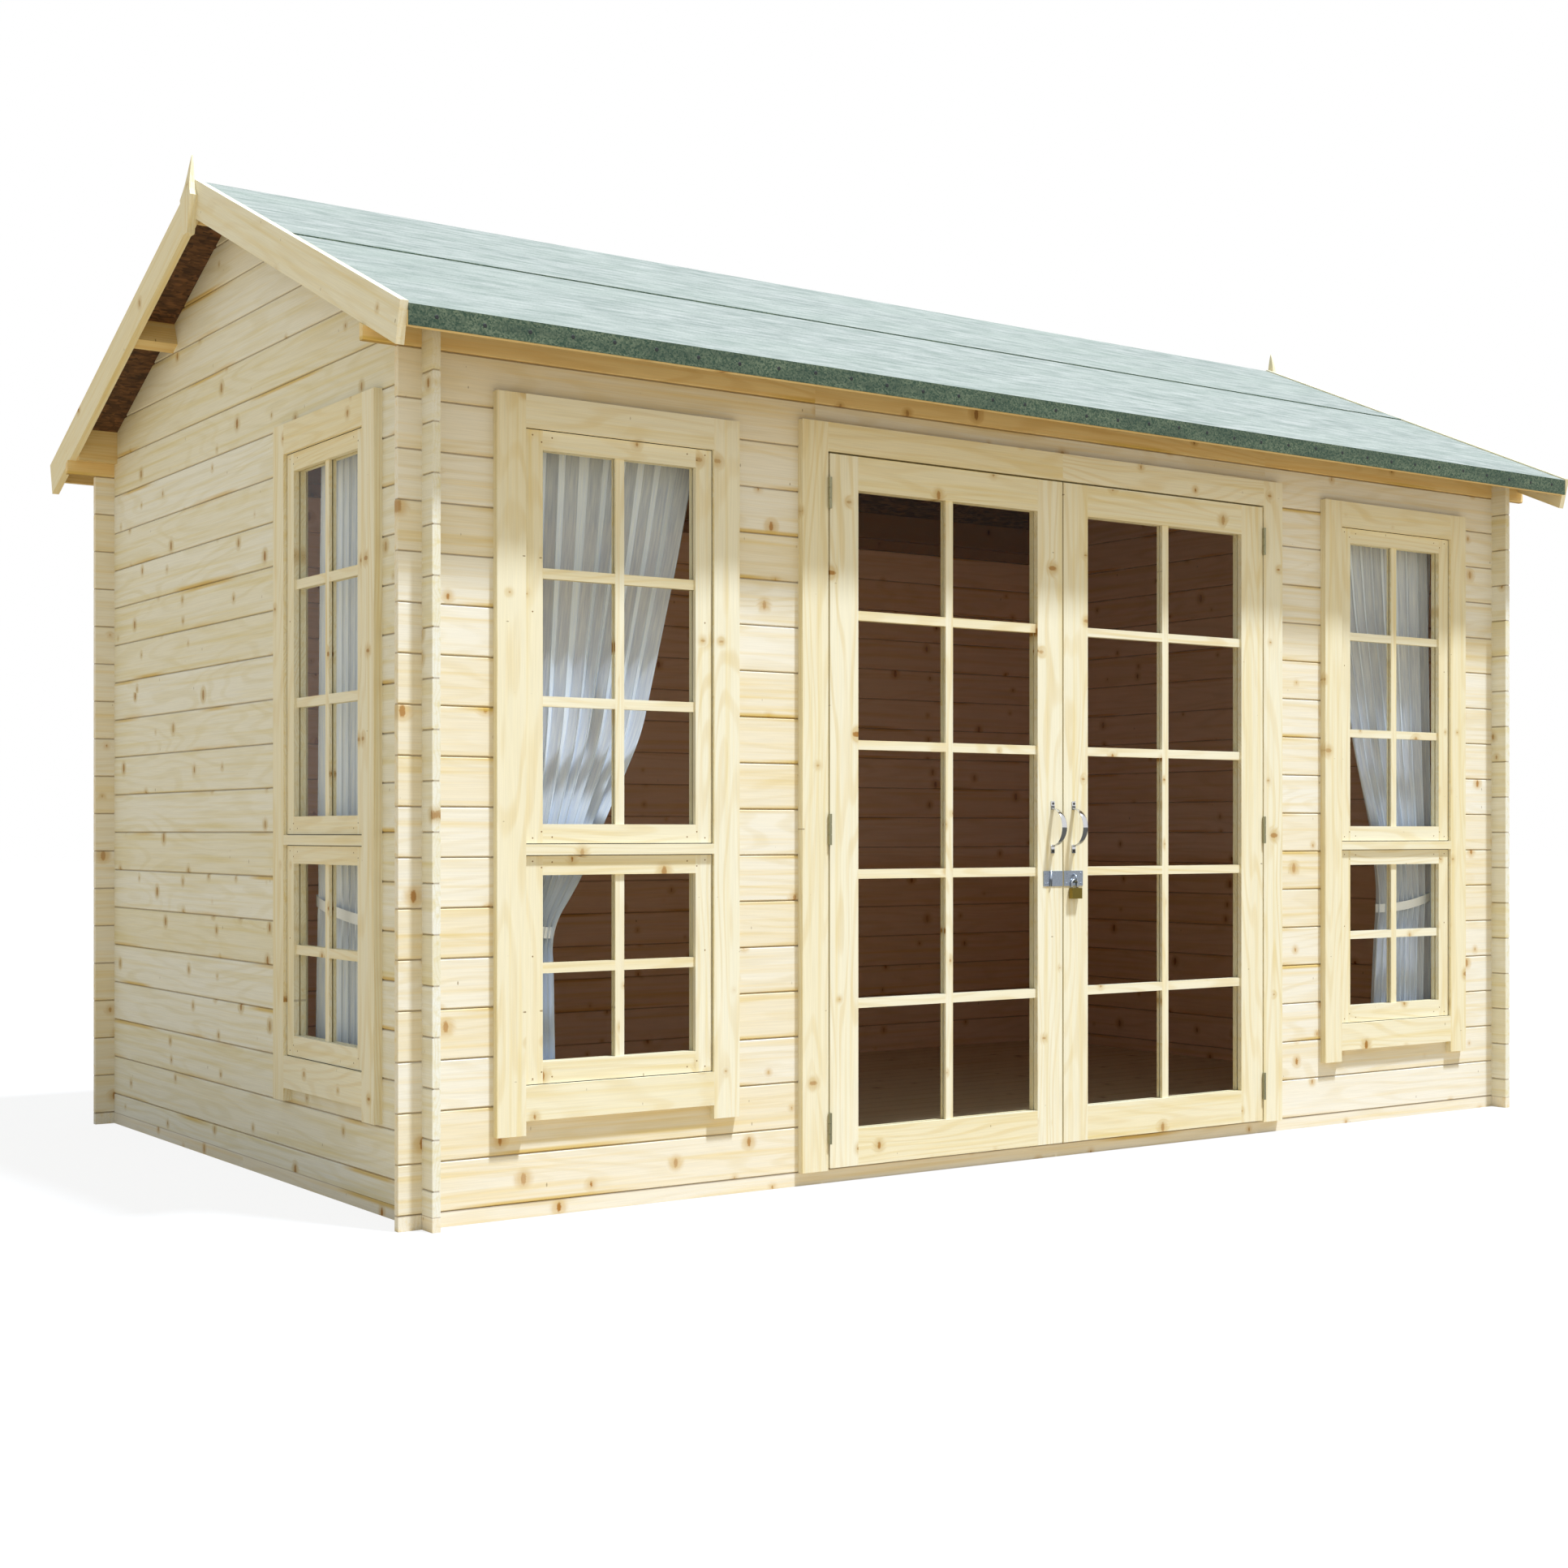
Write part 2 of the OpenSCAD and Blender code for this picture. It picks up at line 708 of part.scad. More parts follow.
module padlock()
    color("#b3984a") {
        y = min(shackle_y, trim_y - hasp_t - lock_t / 2 - 0.5);
        block([staple_x - lock_w / 2, y - lock_t / 2, lock_top - lock_h],
            [staple_x + lock_w / 2, y + lock_t / 2, lock_top]);
        translate([staple_x, shackle_y, shackle_z])
            difference() {
                rotate([90, 0, 0]) rotate_extrude() translate([shackle_r, 0])
                    circle(shackle_wire);
                block([-2 * shackle_r, -shackle_r, -2 * shackle_r],
                    [2 * shackle_r, shackle_r, 0]);
            }
        for (s = [-1, 1])
            translate([staple_x + s * shackle_r, shackle_y, lock_top - lap])
                cylinder(h = shackle_z - lock_top + lap, r = shackle_wire);
    }

// ---------- windows ----------

// The parts of a window are drawn in its own frame: X along the wall from its
// middle, Y inwards from the outer log face, Z up from the foot of the sashes.

// Lining through the wall, with the inner boards that the sashes rest against
module window_frame() {
    w = sash_w / 2;
    mid = lower_sash_h;
    difference() {
        union() {
            block([-w - lining_t, 0, -lining_t], [w + lining_t, log_t, window_h + lining_t]);
            block([-w - window_trim_w, log_t, -sill_h],
                [w + window_trim_w, log_t + inner_t, window_h + window_head_h]);
        }
        for (z = [[0, mid], [mid + transom_h, window_h]]) {
            block([-w, -lap, z[0]], [w, log_t, z[1]]);
            block([rebate - w, log_t - lap, z[0] + rebate],
                [w - rebate, log_t + inner_t + lap, z[1] - rebate]);
        }
    }
}

module window_trim() {
    w = sash_w / 2;
    mid = lower_sash_h;
    for (x = [-w - window_trim_w, w])
        block([x, -trim_t, -sill_h - side_board_drop],
            [x + window_trim_w, 0, window_h + window_head_h]);
    block([-w, -trim_t, -sill_h], [w, 0, 0]);
    block([-w, -trim_t, mid], [w, 0, mid + transom_h]);
    block([-w, -trim_t, window_h], [w, 0, window_h + window_head_h]);
}

// Upper and lower sash: z0 and height, rows of panes and bottom rail
sash_list = [[0, lower_sash_h, 2, window_bottom_rail],
    [lower_sash_h + transom_h, upper_sash_h, 3, sash_rail]];

module window_sashes()
    for (s = sash_list)
        translate([sash_gap - sash_w / 2, log_t - sash_t, s[0] + sash_gap])
            glazed_leaf(sash_w - 2 * sash_gap, s[1] - 2 * sash_gap, sash_t, sash_rail,
                sash_rail, s[3], s[2]);

module sash_glass()
    for (s = sash_list)
        translate([sash_gap - sash_w / 2, log_t - sash_t, s[0] + sash_gap])
            leaf_glass(sash_w - 2 * sash_gap, s[1] - 2 * sash_gap, sash_t, sash_rail,
                sash_rail, s[3]);

module at_left_window() translate([-window_x, front_y, window_z]) children();
module at_right_window() mirror([1, 0, 0]) at_left_window() children();
module at_side_window()
    translate([-half_w, side_window_y, window_z + side_window_up])
        rotate([0, 0, -90]) children();

module window_frames()
    color(spruce) {
        at_left_window() window_frame();
        at_right_window() window_frame();
        at_side_window() window_frame();
    }

module left_window_trim() color(pale_spruce) at_left_window() window_trim();
module right_window_trim() color(pale_spruce) at_right_window() window_trim();
module side_window_trim() color(spruce) at_side_window() window_trim();
module left_window_sashes() color(pale_spruce) at_left_window() window_sashes();
module right_window_sashes() color(pale_spruce) at_right_window() window_sashes();
module side_window_sashes() color(spruce) at_side_window() window_sashes();

module window_glass()
    color("#b9c6c4", 0.5) {
        at_left_window() sash_glass();
        at_right_window() sash_glass();
        at_side_window() sash_glass();
    }

// ---------- curtains ----------

// A curtain drawn towards negative X and held by a tie, as a slab with the
// outline of the gathered cloth
module curtain() {
    w = sash_w / 2 + 6;
    tie = tie_z - window_z;
    foot = -18;
    color("#eef1f4")
        along_y(log_t + inner_t + curtain_gap, log_t + inner_t + curtain_gap + curtain_t)
            polygon([[-w, curtain_top], [-w, foot], [-w + 190, foot], [-w + 165, tie - 60],
                [-w + 120, tie], [-w + 150, tie + 90], [-w + 300, tie + 560],
                [w - 60, tie + 880], [w, curtain_top]]);
}

module left_curtain() at_left_window() curtain();
module right_curtain() at_right_window() curtain();
module side_curtain() at_side_window() mirror([1, 0, 0]) curtain();

// A rod on two posts that stand on the inner head board
module curtain_rod() {
    w = sash_w / 2 + 30;
    y = log_t + inner_t;
    translate([-w, y + curtain_gap + curtain_t / 2, rod_z])
        rotate([0, 90, 0]) cylinder(h = 2 * w, r = rod_r);
    for (x = [-w + rod_r + 6, w - rod_r - 6])
        translate([x, y, rod_z])
            rotate([-90, 0, 0]) cylinder(h = curtain_gap + curtain_t / 2, r = rod_r - 1);
}

module curtain_rods()
    color("#e4e2da") {
        at_left_window() curtain_rod();
        at_right_window() curtain_rod();
        at_side_window() curtain_rod();
    }

base_frame();
floor_boards();
front_wall_left();
front_wall_right();
front_wall_over_door();
back_wall();
left_wall();
right_wall();
left_gable();
right_gable();
wall_plates();
eaves_purlins();
ridge_purlin();
middle_purlins();
roof_boards_front();
roof_boards_back();
eaves_battens();
felt_front();
felt_back();
felt_ridge();
bargeboard_left_front();
bargeboard_left_back();
bargeboard_right_front();
bargeboard_right_back();
finials();
door_frame();
door_trim();
left_door();
right_door();
left_door_glass();
right_door_glass();
left_handle();
right_handle();
hasp_plate();
hasp_staple();
padlock();
frame_hinges();
left_door_hinges();
right_door_hinges();
window_frames();
left_window_trim();
right_window_trim();
side_window_trim();
left_window_sashes();
right_window_sashes();
side_window_sashes();
window_glass();
left_curtain();
right_curtain();
side_curtain();
curtain_rods();
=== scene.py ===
"""Log cabin of unfinished spruce: finishes, curtains, nails, screws and fittings."""

import math

import bmesh
import bpy
from mathutils import Matrix, Vector


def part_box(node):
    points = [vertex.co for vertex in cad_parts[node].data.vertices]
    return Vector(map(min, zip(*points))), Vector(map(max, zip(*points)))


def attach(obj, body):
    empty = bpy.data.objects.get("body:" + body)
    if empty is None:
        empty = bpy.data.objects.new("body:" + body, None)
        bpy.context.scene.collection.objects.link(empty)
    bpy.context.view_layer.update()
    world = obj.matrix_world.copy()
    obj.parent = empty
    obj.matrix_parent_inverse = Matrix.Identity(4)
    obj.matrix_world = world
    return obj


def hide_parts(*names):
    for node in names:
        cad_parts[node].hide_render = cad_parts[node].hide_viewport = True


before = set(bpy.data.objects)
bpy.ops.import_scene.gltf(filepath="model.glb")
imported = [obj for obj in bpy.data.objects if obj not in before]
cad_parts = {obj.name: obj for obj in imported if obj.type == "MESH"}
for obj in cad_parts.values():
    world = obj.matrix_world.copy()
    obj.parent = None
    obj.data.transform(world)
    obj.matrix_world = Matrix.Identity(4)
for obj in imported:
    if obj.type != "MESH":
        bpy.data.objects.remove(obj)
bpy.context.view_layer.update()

# ---------- sizes, in metres ----------

FRONT = -1.105            # outer face of the front logs
SIDE = 1.791              # outer face of the side logs
LOG = 0.110               # cover height of a log
LOG_T = 0.019             # thickness of a log
JOINT_CUT = 0.0048        # depth of the V at a joint, with a little to spare
LONG_JOINT = 0.033        # a joint of the front and back logs
SIDE_JOINT = 0.088        # a joint of the side logs
ROOM_X = SIDE - LOG_T + JOINT_CUT         # the room ends just past the joints
ROOM_Y = -FRONT - LOG_T + JOINT_CUT
FLOOR_BOARD = 0.09        # width of a floor board
TRIM = -1.125             # face of the door trim and of the leaves
DOORWAY = 0.772           # half of the width between the logs beside the doors
SLOPE = math.atan(0.43)
WINDOW_X = 1.312          # middle of a front window
WINDOW_Z = 0.295          # foot of the front sashes
WINDOW_H = 1.461          # height of both sashes and the rail between them
SIDE_WINDOW_Y = -0.580    # middle of the side window
SIDE_WINDOW_UP = 0.020    # how much higher than the front ones it stands
HALF_SASH = 0.242         # half of a window between its trim boards
SASH_GAP = 0.002              # gap round a sash
TIE_Z = 0.343             # height of the curtain ties above the foot of the sashes


def colour(code):
    """A colour written as sRGB hex, as the linear values that the shaders take."""
    parts = [int(code[i:i + 2], 16) / 255 for i in (1, 3, 5)]
    linear = [c / 12.92 if c <= 0.04045 else ((c + 0.055) / 1.055) ** 2.4 for c in parts]
    return (*linear, 1.0)


def add(tree, kind, *values, **settings):
    """Adds one node. Settings come first; the values then fill its inputs in order,
    and settings with a capital letter are inputs by name."""
    node = tree.nodes.new("ShaderNode" + kind)
    for key, value in settings.items():
        if not key[0].isupper():
            setattr(node, key, value)
    sockets = [s for s in node.inputs if s.enabled]
    pairs = list(zip(sockets, values))
    pairs += [(node.inputs[k.replace("_", " ")], v) for k, v in settings.items() if k[0].isupper()]
    for socket, value in pairs:
        if isinstance(value, bpy.types.Node):
            value = next(s for s in value.outputs if s.enabled)
        if isinstance(value, bpy.types.NodeSocket):
            tree.links.new(value, socket)
        elif value is not None:
            socket.default_value = value
    return node


def material(name):
    """An empty material, its tree and its output node."""
    made = bpy.data.materials.new(name)
    made.use_nodes = True
    made.node_tree.nodes.clear()
    return made, made.node_tree, made.node_tree.nodes.new("ShaderNodeOutputMaterial")


def finish_with(tree, output, shader):
    tree.links.new(shader.outputs[0], output.inputs["Surface"])


def tinted(tree, under, over, pattern, start, end, share=1.0):
    """One colour laid over another: none of it where a pattern is at start, and share
    of it where the pattern is at end."""
    amount = add(tree, "MapRange", pattern, start, end, 0.0, share)
    return add(tree, "Mix", amount, under, over, data_type="RGBA")


# ---------- spruce ----------

RING = 0.0078                    # a year's ring, drawn wide so that it shows
BRANCH_CELL = (0.20, 0.080)      # along and across a board, with one branch at most
PIN_CELL = (0.145, 0.055)        # and with one pin knot at most


def spots(group, along, across, long_cell, wide_cell):
    """One spot in each cell of a board: how far off it is, along and across the board
    in metres, and three lucks of its own."""
    cell_along = add(group, "Math", along, long_cell, operation="DIVIDE")
    cell_across = add(group, "Math", across, wide_cell, operation="DIVIDE")
    flat = add(group, "CombineXYZ", cell_along, cell_across, 0.0)
    cell = add(group, "TexVoronoi", Vector=flat, Scale=1.0, Randomness=0.85,
               voronoi_dimensions="2D")
    off = add(group, "VectorMath", flat, cell.outputs["Position"], operation="SUBTRACT")
    off = add(group, "VectorMath", off, (long_cell, wide_cell, 0.0), operation="MULTIPLY")
    return off, add(group, "SeparateColor", cell.outputs["Color"]).outputs


def spruce_group():
    """The figure of one board of plain-sawn spruce. Along, Across and Depth are places
    on the board in metres from its middle, Board is a number of its own, and Figure is
    how much the rings show: little on a planed log, more on a wide board."""
    group = bpy.data.node_groups.new("spruce_figure", "ShaderNodeTree")
    sockets = group.interface
    for name in ("Along", "Across", "Depth", "Board", "Figure"):
        sockets.new_socket(name, in_out="INPUT", socket_type="NodeSocketFloat")
    for name in ("Early", "Late", "Warm", "Knot"):
        sockets.new_socket(name, in_out="INPUT", socket_type="NodeSocketColor")
    sockets.new_socket("Colour", in_out="OUTPUT", socket_type="NodeSocketColor")
    sockets.new_socket("Height", in_out="OUTPUT", socket_type="NodeSocketFloat")
    given = group.nodes.new("NodeGroupInput").outputs
    result = group.nodes.new("NodeGroupOutput")
    luck = add(group, "TexWhiteNoise", W=given["Board"], noise_dimensions="1D")
    luck_a, luck_b, luck_c = add(group, "SeparateColor", luck.outputs["Color"]).outputs

    # Each board is cut from its own place in the tree.
    far_along = add(group, "Math", luck_a, 37.0, given["Along"], operation="MULTIPLY_ADD")
    far_across = add(group, "Math", luck_b, 11.0, given["Across"], operation="MULTIPLY_ADD")
    far_depth = add(group, "Math", luck_c, 23.0, given["Depth"], operation="MULTIPLY_ADD")
    place = add(group, "CombineXYZ", far_along, far_across, far_depth)

    # Branches cut through on the slant: one on every 0.6 m or so, up to 14 mm along the
    # board and twice that across it, in an amber halo
    off, branch = spots(group, far_along, far_across, *BRANCH_CELL)
    rough = add(group, "TexNoise", Vector=place, Scale=260.0, Detail=1.0)
    rough = add(group, "Math", rough, 0.5, operation="SUBTRACT")
    rough = add(group, "Math", rough, 0.006, operation="MULTIPLY")
    branch_r = add(group, "MapRange", branch[0], 0.60, 1.0, 0.0, 0.0105)
    has_branch = add(group, "MapRange", branch_r, 0.0, 0.0016, 0.0, 1.0)
    near = add(group, "VectorMath", off, (1.45, 0.72, 0.0), operation="MULTIPLY")
    near = add(group, "VectorMath", near, operation="LENGTH").outputs["Value"]
    near = add(group, "Math", near, branch_r, operation="SUBTRACT")
    near = add(group, "Math", near, rough, operation="ADD")
    core = add(group, "MapRange", near, 0.0018, -0.0030, 0.0, 1.0, interpolation_type="SMOOTHSTEP")
    drawn = add(group, "VectorMath", off, (0.60, 0.62, 0.0), operation="MULTIPLY")
    drawn = add(group, "VectorMath", drawn, operation="LENGTH").outputs["Value"]
    drawn = add(group, "Math", drawn, branch_r, operation="SUBTRACT")
    halo = add(group, "MapRange", drawn, 0.009, -0.004, 0.0, 1.0, interpolation_type="SMOOTHSTEP")
    halo = add(group, "Math", halo, has_branch, operation="MULTIPLY")

    # Pin knots and resin marks: small, dark and narrow, lying across the grain
    pin_off, pin = spots(group, far_along, far_across, *PIN_CELL)
    pin_r = add(group, "MapRange", pin[0], 0.78, 1.0, 0.0, 0.0034)
    pin_off = add(group, "VectorMath", pin_off, (1.5, 0.62, 0.0), operation="MULTIPLY")
    pin_off = add(group, "VectorMath", pin_off, operation="LENGTH").outputs["Value"]
    pin_off = add(group, "Math", pin_off, pin_r, operation="SUBTRACT")
    pin_mark = add(group, "MapRange", pin_off, 0.0004, -0.0016, 0.0, 1.0,
                   interpolation_type="SMOOTHSTEP")
    pin_dark = add(group, "MapRange", pin[1], 0.0, 1.0, 0.25, 0.8)
    pin_mark = add(group, "Math", pin_mark, pin_dark, operation="MULTIPLY")

    # Growth rings cut flat: arcs and arches where the board runs close to the heart
    slow = add(group, "VectorMath", place, (0.8, 6.0, 6.0), operation="MULTIPLY")
    wander = add(group, "TexNoise", Vector=slow, Scale=1.0, Detail=2.0, Roughness=0.45)
    wander = add(group, "SeparateColor", wander.outputs["Color"]).outputs
    sway = add(group, "Math", given["Figure"], 0.085, 0.012, operation="MULTIPLY_ADD")
    off_across = add(group, "MapRange", luck_b, 0.0, 1.0, -0.075, 0.075)
    off_across = add(group, "Math", wander[0], sway, off_across, operation="MULTIPLY_ADD")
    off_across = add(group, "Math", off_across, given["Across"], operation="ADD")
    sway_deep = add(group, "Math", sway, 2.2, operation="MULTIPLY")
    off_depth = add(group, "Math", wander[1], sway_deep, -0.075, operation="MULTIPLY_ADD")
    off_depth = add(group, "Math", off_depth, given["Depth"], operation="ADD")
    heart = add(group, "CombineXYZ", off_across, off_depth, 0.0)
    heart = add(group, "VectorMath", heart, operation="LENGTH").outputs["Value"]
    heart = add(group, "Math", halo, 0.007, heart, operation="MULTIPLY_ADD")
    ring = add(group, "Math", heart, 2 * math.pi / RING, operation="MULTIPLY")
    ring = add(group, "Math", ring, operation="SINE")
    late = add(group, "MapRange", ring, 0.0, 1.0, 0.0, 1.0, interpolation_type="SMOOTHSTEP")
    fibre_at = add(group, "VectorMath", place, (9.0, 420.0, 420.0), operation="MULTIPLY")
    fibre = add(group, "TexNoise", Vector=fibre_at, Scale=1.0, Detail=2.0)
    streak_at = add(group, "VectorMath", place, (1.3, 62.0, 62.0), operation="MULTIPLY")
    streak = add(group, "TexNoise", Vector=streak_at, Scale=1.0, Detail=2.0)
    cloud_at = add(group, "VectorMath", place, (2.4, 16.0, 16.0), operation="MULTIPLY")
    cloud = add(group, "TexNoise", Vector=cloud_at, Scale=1.0, Detail=3.0, Roughness=0.6)

    shade = add(group, "MapRange", cloud, 0.32, 0.72, 0.18, 0.85)
    shade = add(group, "Math", shade, late, operation="MULTIPLY")
    shade = add(group, "Math", shade, given["Figure"], operation="MULTIPLY")
    body = add(group, "Mix", shade, given["Early"], given["Late"], data_type="RGBA")
    warmth = add(group, "MapRange", luck_c, 0.2, 1.0, 0.0, 0.30)
    warmth = add(group, "Math", cloud, 0.35, warmth, operation="MULTIPLY_ADD")
    warmth = add(group, "Math", warmth, 0.10, operation="SUBTRACT", use_clamp=True)
    streak_warm = add(group, "MapRange", streak, 0.50, 0.76, 0.0, 0.55)
    warmth = add(group, "Math", streak_warm, warmth, operation="ADD")
    body = add(group, "Mix", warmth, body, given["Warm"], data_type="RGBA")
    fine = add(group, "MapRange", fibre, 0.3, 0.7, 0.95, 1.03)
    fine_grey = add(group, "CombineColor", fine, fine, fine)
    body = add(group, "Mix", 1.0, body, fine_grey, data_type="RGBA", blend_type="MULTIPLY")
    halo_tint = add(group, "Mix", 0.40, given["Warm"], given["Knot"], data_type="RGBA")
    halo = add(group, "Math", halo, 0.7, operation="MULTIPLY")
    body = add(group, "Mix", halo, body, halo_tint, data_type="RGBA")
    dark = add(group, "MapRange", branch[1], 0.0, 1.0, 0.50, 1.0)
    dark = add(group, "Math", core, dark, operation="MULTIPLY")
    dark = add(group, "Math", dark, has_branch, operation="MULTIPLY")
    body = add(group, "Mix", dark, body, given["Knot"], data_type="RGBA")
    body = add(group, "Mix", pin_mark, body, colour("#7D6235"), data_type="RGBA")
    height = add(group, "Math", late, 0.35, fine, operation="MULTIPLY_ADD")
    group.links.new(next(s for s in body.outputs if s.enabled), result.inputs["Colour"])
    group.links.new(height.outputs[0], result.inputs["Height"])
    return group


SPRUCE = spruce_group()
# Early wood, late wood, warm streaks and knots
PALE = ("#F0EAD1", "#DBC286", "#E5D195", "#A6742F")
# LOGS and the next row are one spruce painted for the light on each wall: warmer for the front,
# which takes warm light bounced from the ground, greyer and more olive for the sides, which stand
# in the shade
LOGS = ("#F0EBDC", "#DBC99A", "#E7D093", "#AA742C")
SIDE_SHADE_LOGS = ("#EEECDF", "#D6CA9C", "#DFD097", "#A0702E")
# The next two rows are the same spruce with painted warm shade: deeper and more orange, standing in
# for light bounced off the strand board under the eaves
EAVES_SHADE_TINTS = ("#E3CE9B", "#C8A462", "#D9B46F", "#8A5A26")
PLATE_SHADE_TINTS = ("#EFD8A0", "#D3AB62", "#E2BB72", "#8A5A26")
FLOOR = ("#E6CFAE", "#CFAE86", "#D9BA92", "#8A5A36")
# Painted shade of the room, multiplied over the wood inside it: warm and dim on the walls, darker
# on the timbers of the roof
ROOM_WALL_SHADE, ROOM_ROOF_SHADE = "#FFD4BF", "#A5806C"


def timber(name, board, tints=PALE, gap=None, rough=0.62, relief=0.0006, figure=0.6, room=None):
    """Planed spruce, untreated: matt and pale, with soft rings and brown knots.
    board(tree, x, y, z) gives Along, Across, Depth and Board; gap, if given, is the
    half-width of the board at which the joint to the next one shows, with a band of
    resin-yellow wood here and there beside it. room, if given, is painted shade: a
    colour multiplied over the wood inside the room."""
    made, tree, output = material(name)
    at = add(tree, "SeparateXYZ", add(tree, "TexCoord").outputs["Object"]).outputs
    along, across, depth, number = board(tree, *at)
    early, late, warm, knot = [colour(code) for code in tints]
    wood = add(tree, "Group", node_tree=SPRUCE, Along=along, Across=across, Depth=depth,
               Board=number, Figure=figure, Early=early, Late=late, Warm=warm, Knot=knot)
    face = wood.outputs["Colour"]
    if gap:
        off = add(tree, "Math", across, operation="ABSOLUTE")
        band = add(tree, "MapRange", off, gap - 0.0125, gap - 0.0055, 0.0, 1.0,
                   interpolation_type="SMOOTHSTEP")
        hand = add(tree, "Math", across, operation="SIGN")
        band_along = add(tree, "Math", along, 1.7, operation="MULTIPLY")
        band_at = add(tree, "CombineXYZ", band_along, hand, number)
        resin = add(tree, "TexNoise", Vector=band_at, Scale=1.0, Detail=1.0)
        resin = add(tree, "MapRange", resin, 0.54, 0.64, 0.0, 0.8)
        band = add(tree, "Math", band, resin, operation="MULTIPLY")
        face = add(tree, "Mix", band, face, colour("#D6B55B"), data_type="RGBA")
        face = tinted(tree, face, colour("#6E4A20"), off, gap - 0.0026, gap - 0.0008, 0.5)
    # Painted shade: inside the room the wood is darkened and warmed by the room colour
    if room:
        in_x = add(tree, "Math", at[0], operation="ABSOLUTE")
        in_x = add(tree, "Math", in_x, ROOM_X, operation="LESS_THAN")
        in_y = add(tree, "Math", at[1], operation="ABSOLUTE")
        in_y = add(tree, "Math", in_y, ROOM_Y, operation="LESS_THAN")
        inside = add(tree, "Math", in_x, in_y, operation="MULTIPLY")
        face = add(tree, "Mix", inside, face, colour(room), data_type="RGBA", blend_type="MULTIPLY")
    bump = add(tree, "Bump", Strength=0.35, Distance=relief, Height=wood.outputs["Height"])
    shader = add(tree, "BsdfPrincipled", Base_Color=face, Roughness=rough, Normal=bump)
    shader.inputs["Specular IOR Level"].default_value = 0.3
    finish_with(tree, output, shader)
    return made


def courses(tree, up, height):
    """The course that a place falls in, counted from the lowest, and how far the place
    is above the middle of it"""
    row = add(tree, "Math", up, height, operation="DIVIDE")
    row = add(tree, "Math", row, operation="FLOOR")
    middle = add(tree, "Math", row, 0.5, operation="ADD")
    middle = add(tree, "Math", middle, height, operation="MULTIPLY")
    return row, add(tree, "Math", up, middle, operation="SUBTRACT")


def by_hand(tree, place, step, number):
    """A board's number, moved by a step to either side of the cabin's middle"""
    hand = add(tree, "Math", place, operation="SIGN")
    return add(tree, "Math", hand, step, number, operation="MULTIPLY_ADD")


def long_log(tree, x, y, z):
    """Front and back logs: along X, one above the other. The logs left of the doors,
    over them and right of them are different ones."""
    up = add(tree, "Math", z, LONG_JOINT, operation="SUBTRACT")
    row, across = courses(tree, up, LOG)
    third = add(tree, "Math", x, DOORWAY, operation="ADD")
    third = add(tree, "Math", third, 2 * DOORWAY, operation="DIVIDE")
    third = add(tree, "Math", third, operation="FLOOR")
    at_front = add(tree, "Math", y, 0.0, operation="LESS_THAN")
    third = add(tree, "Math", third, at_front, operation="MULTIPLY")
    side = add(tree, "Math", at_front, 211.0, row, operation="MULTIPLY_ADD")
    number = add(tree, "Math", third, 47.0, side, operation="MULTIPLY_ADD")
    return x, across, y, number


def side_log(tree, x, y, z):
    """Side and gable logs: along Y, half a log higher than the front ones"""
    up = add(tree, "Math", z, SIDE_JOINT - LOG, operation="SUBTRACT")
    row, across = courses(tree, up, LOG)
    return y, across, x, by_hand(tree, x, 83.0, row)


def beam(tree, x, y, z):
    """A timber along X: purlins and battens of the roof"""
    return x, z, y, by_hand(tree, y, 17.0, 5.0)


def sole_log(tree, x, y, z):
    """The lowest logs: along X under the front and the back, along Y under the sides"""
    side = add(tree, "Math", x, operation="ABSOLUTE")
    side = add(tree, "Math", side, ROOM_X, operation="GREATER_THAN")
    across = add(tree, "Math", z, LOG / 2 - LONG_JOINT, operation="ADD")
    number = by_hand(tree, y, 9.0, 2.0)
    number = add(tree, "Math", side, 31.0, number, operation="MULTIPLY_ADD")
    return add(tree, "Mix", side, x, y), across, add(tree, "Mix", side, y, x), number


def floor_board(tree, x, y, z):
    """Tongued floor boards along X"""
    row, across = courses(tree, y, FLOOR_BOARD)
    return x, across, z, add(tree, "Math", row, 301.0, operation="ADD")


def barge_board(tree, x, y, z):
    """Bargeboards: along the slope, falling from the ridge to each eave"""
    off = add(tree, "Math", y, operation="ABSOLUTE")
    across = add(tree, "Math", off, math.sin(SLOPE), operation="MULTIPLY")
    across = add(tree, "Math", z, math.cos(SLOPE), across, operation="MULTIPLY_ADD")
    across = add(tree, "Math", across, 2.26, operation="SUBTRACT")
    along = add(tree, "Math", z, math.sin(SLOPE), operation="MULTIPLY")
    along = add(tree, "Math", off, -math.cos(SLOPE), along, operation="MULTIPLY_ADD")
    return along, across, x, by_hand(tree, y, 13.0, by_hand(tree, x, 3.0, 71.0))


def finial_board(tree, x, y, z):
    """Finials: upright boards at the two ends of the ridge"""
    return z, y, x, by_hand(tree, x, 5.0, 91.0)


LEVEL = 0.3               # level pieces get a new board's figure at each such step


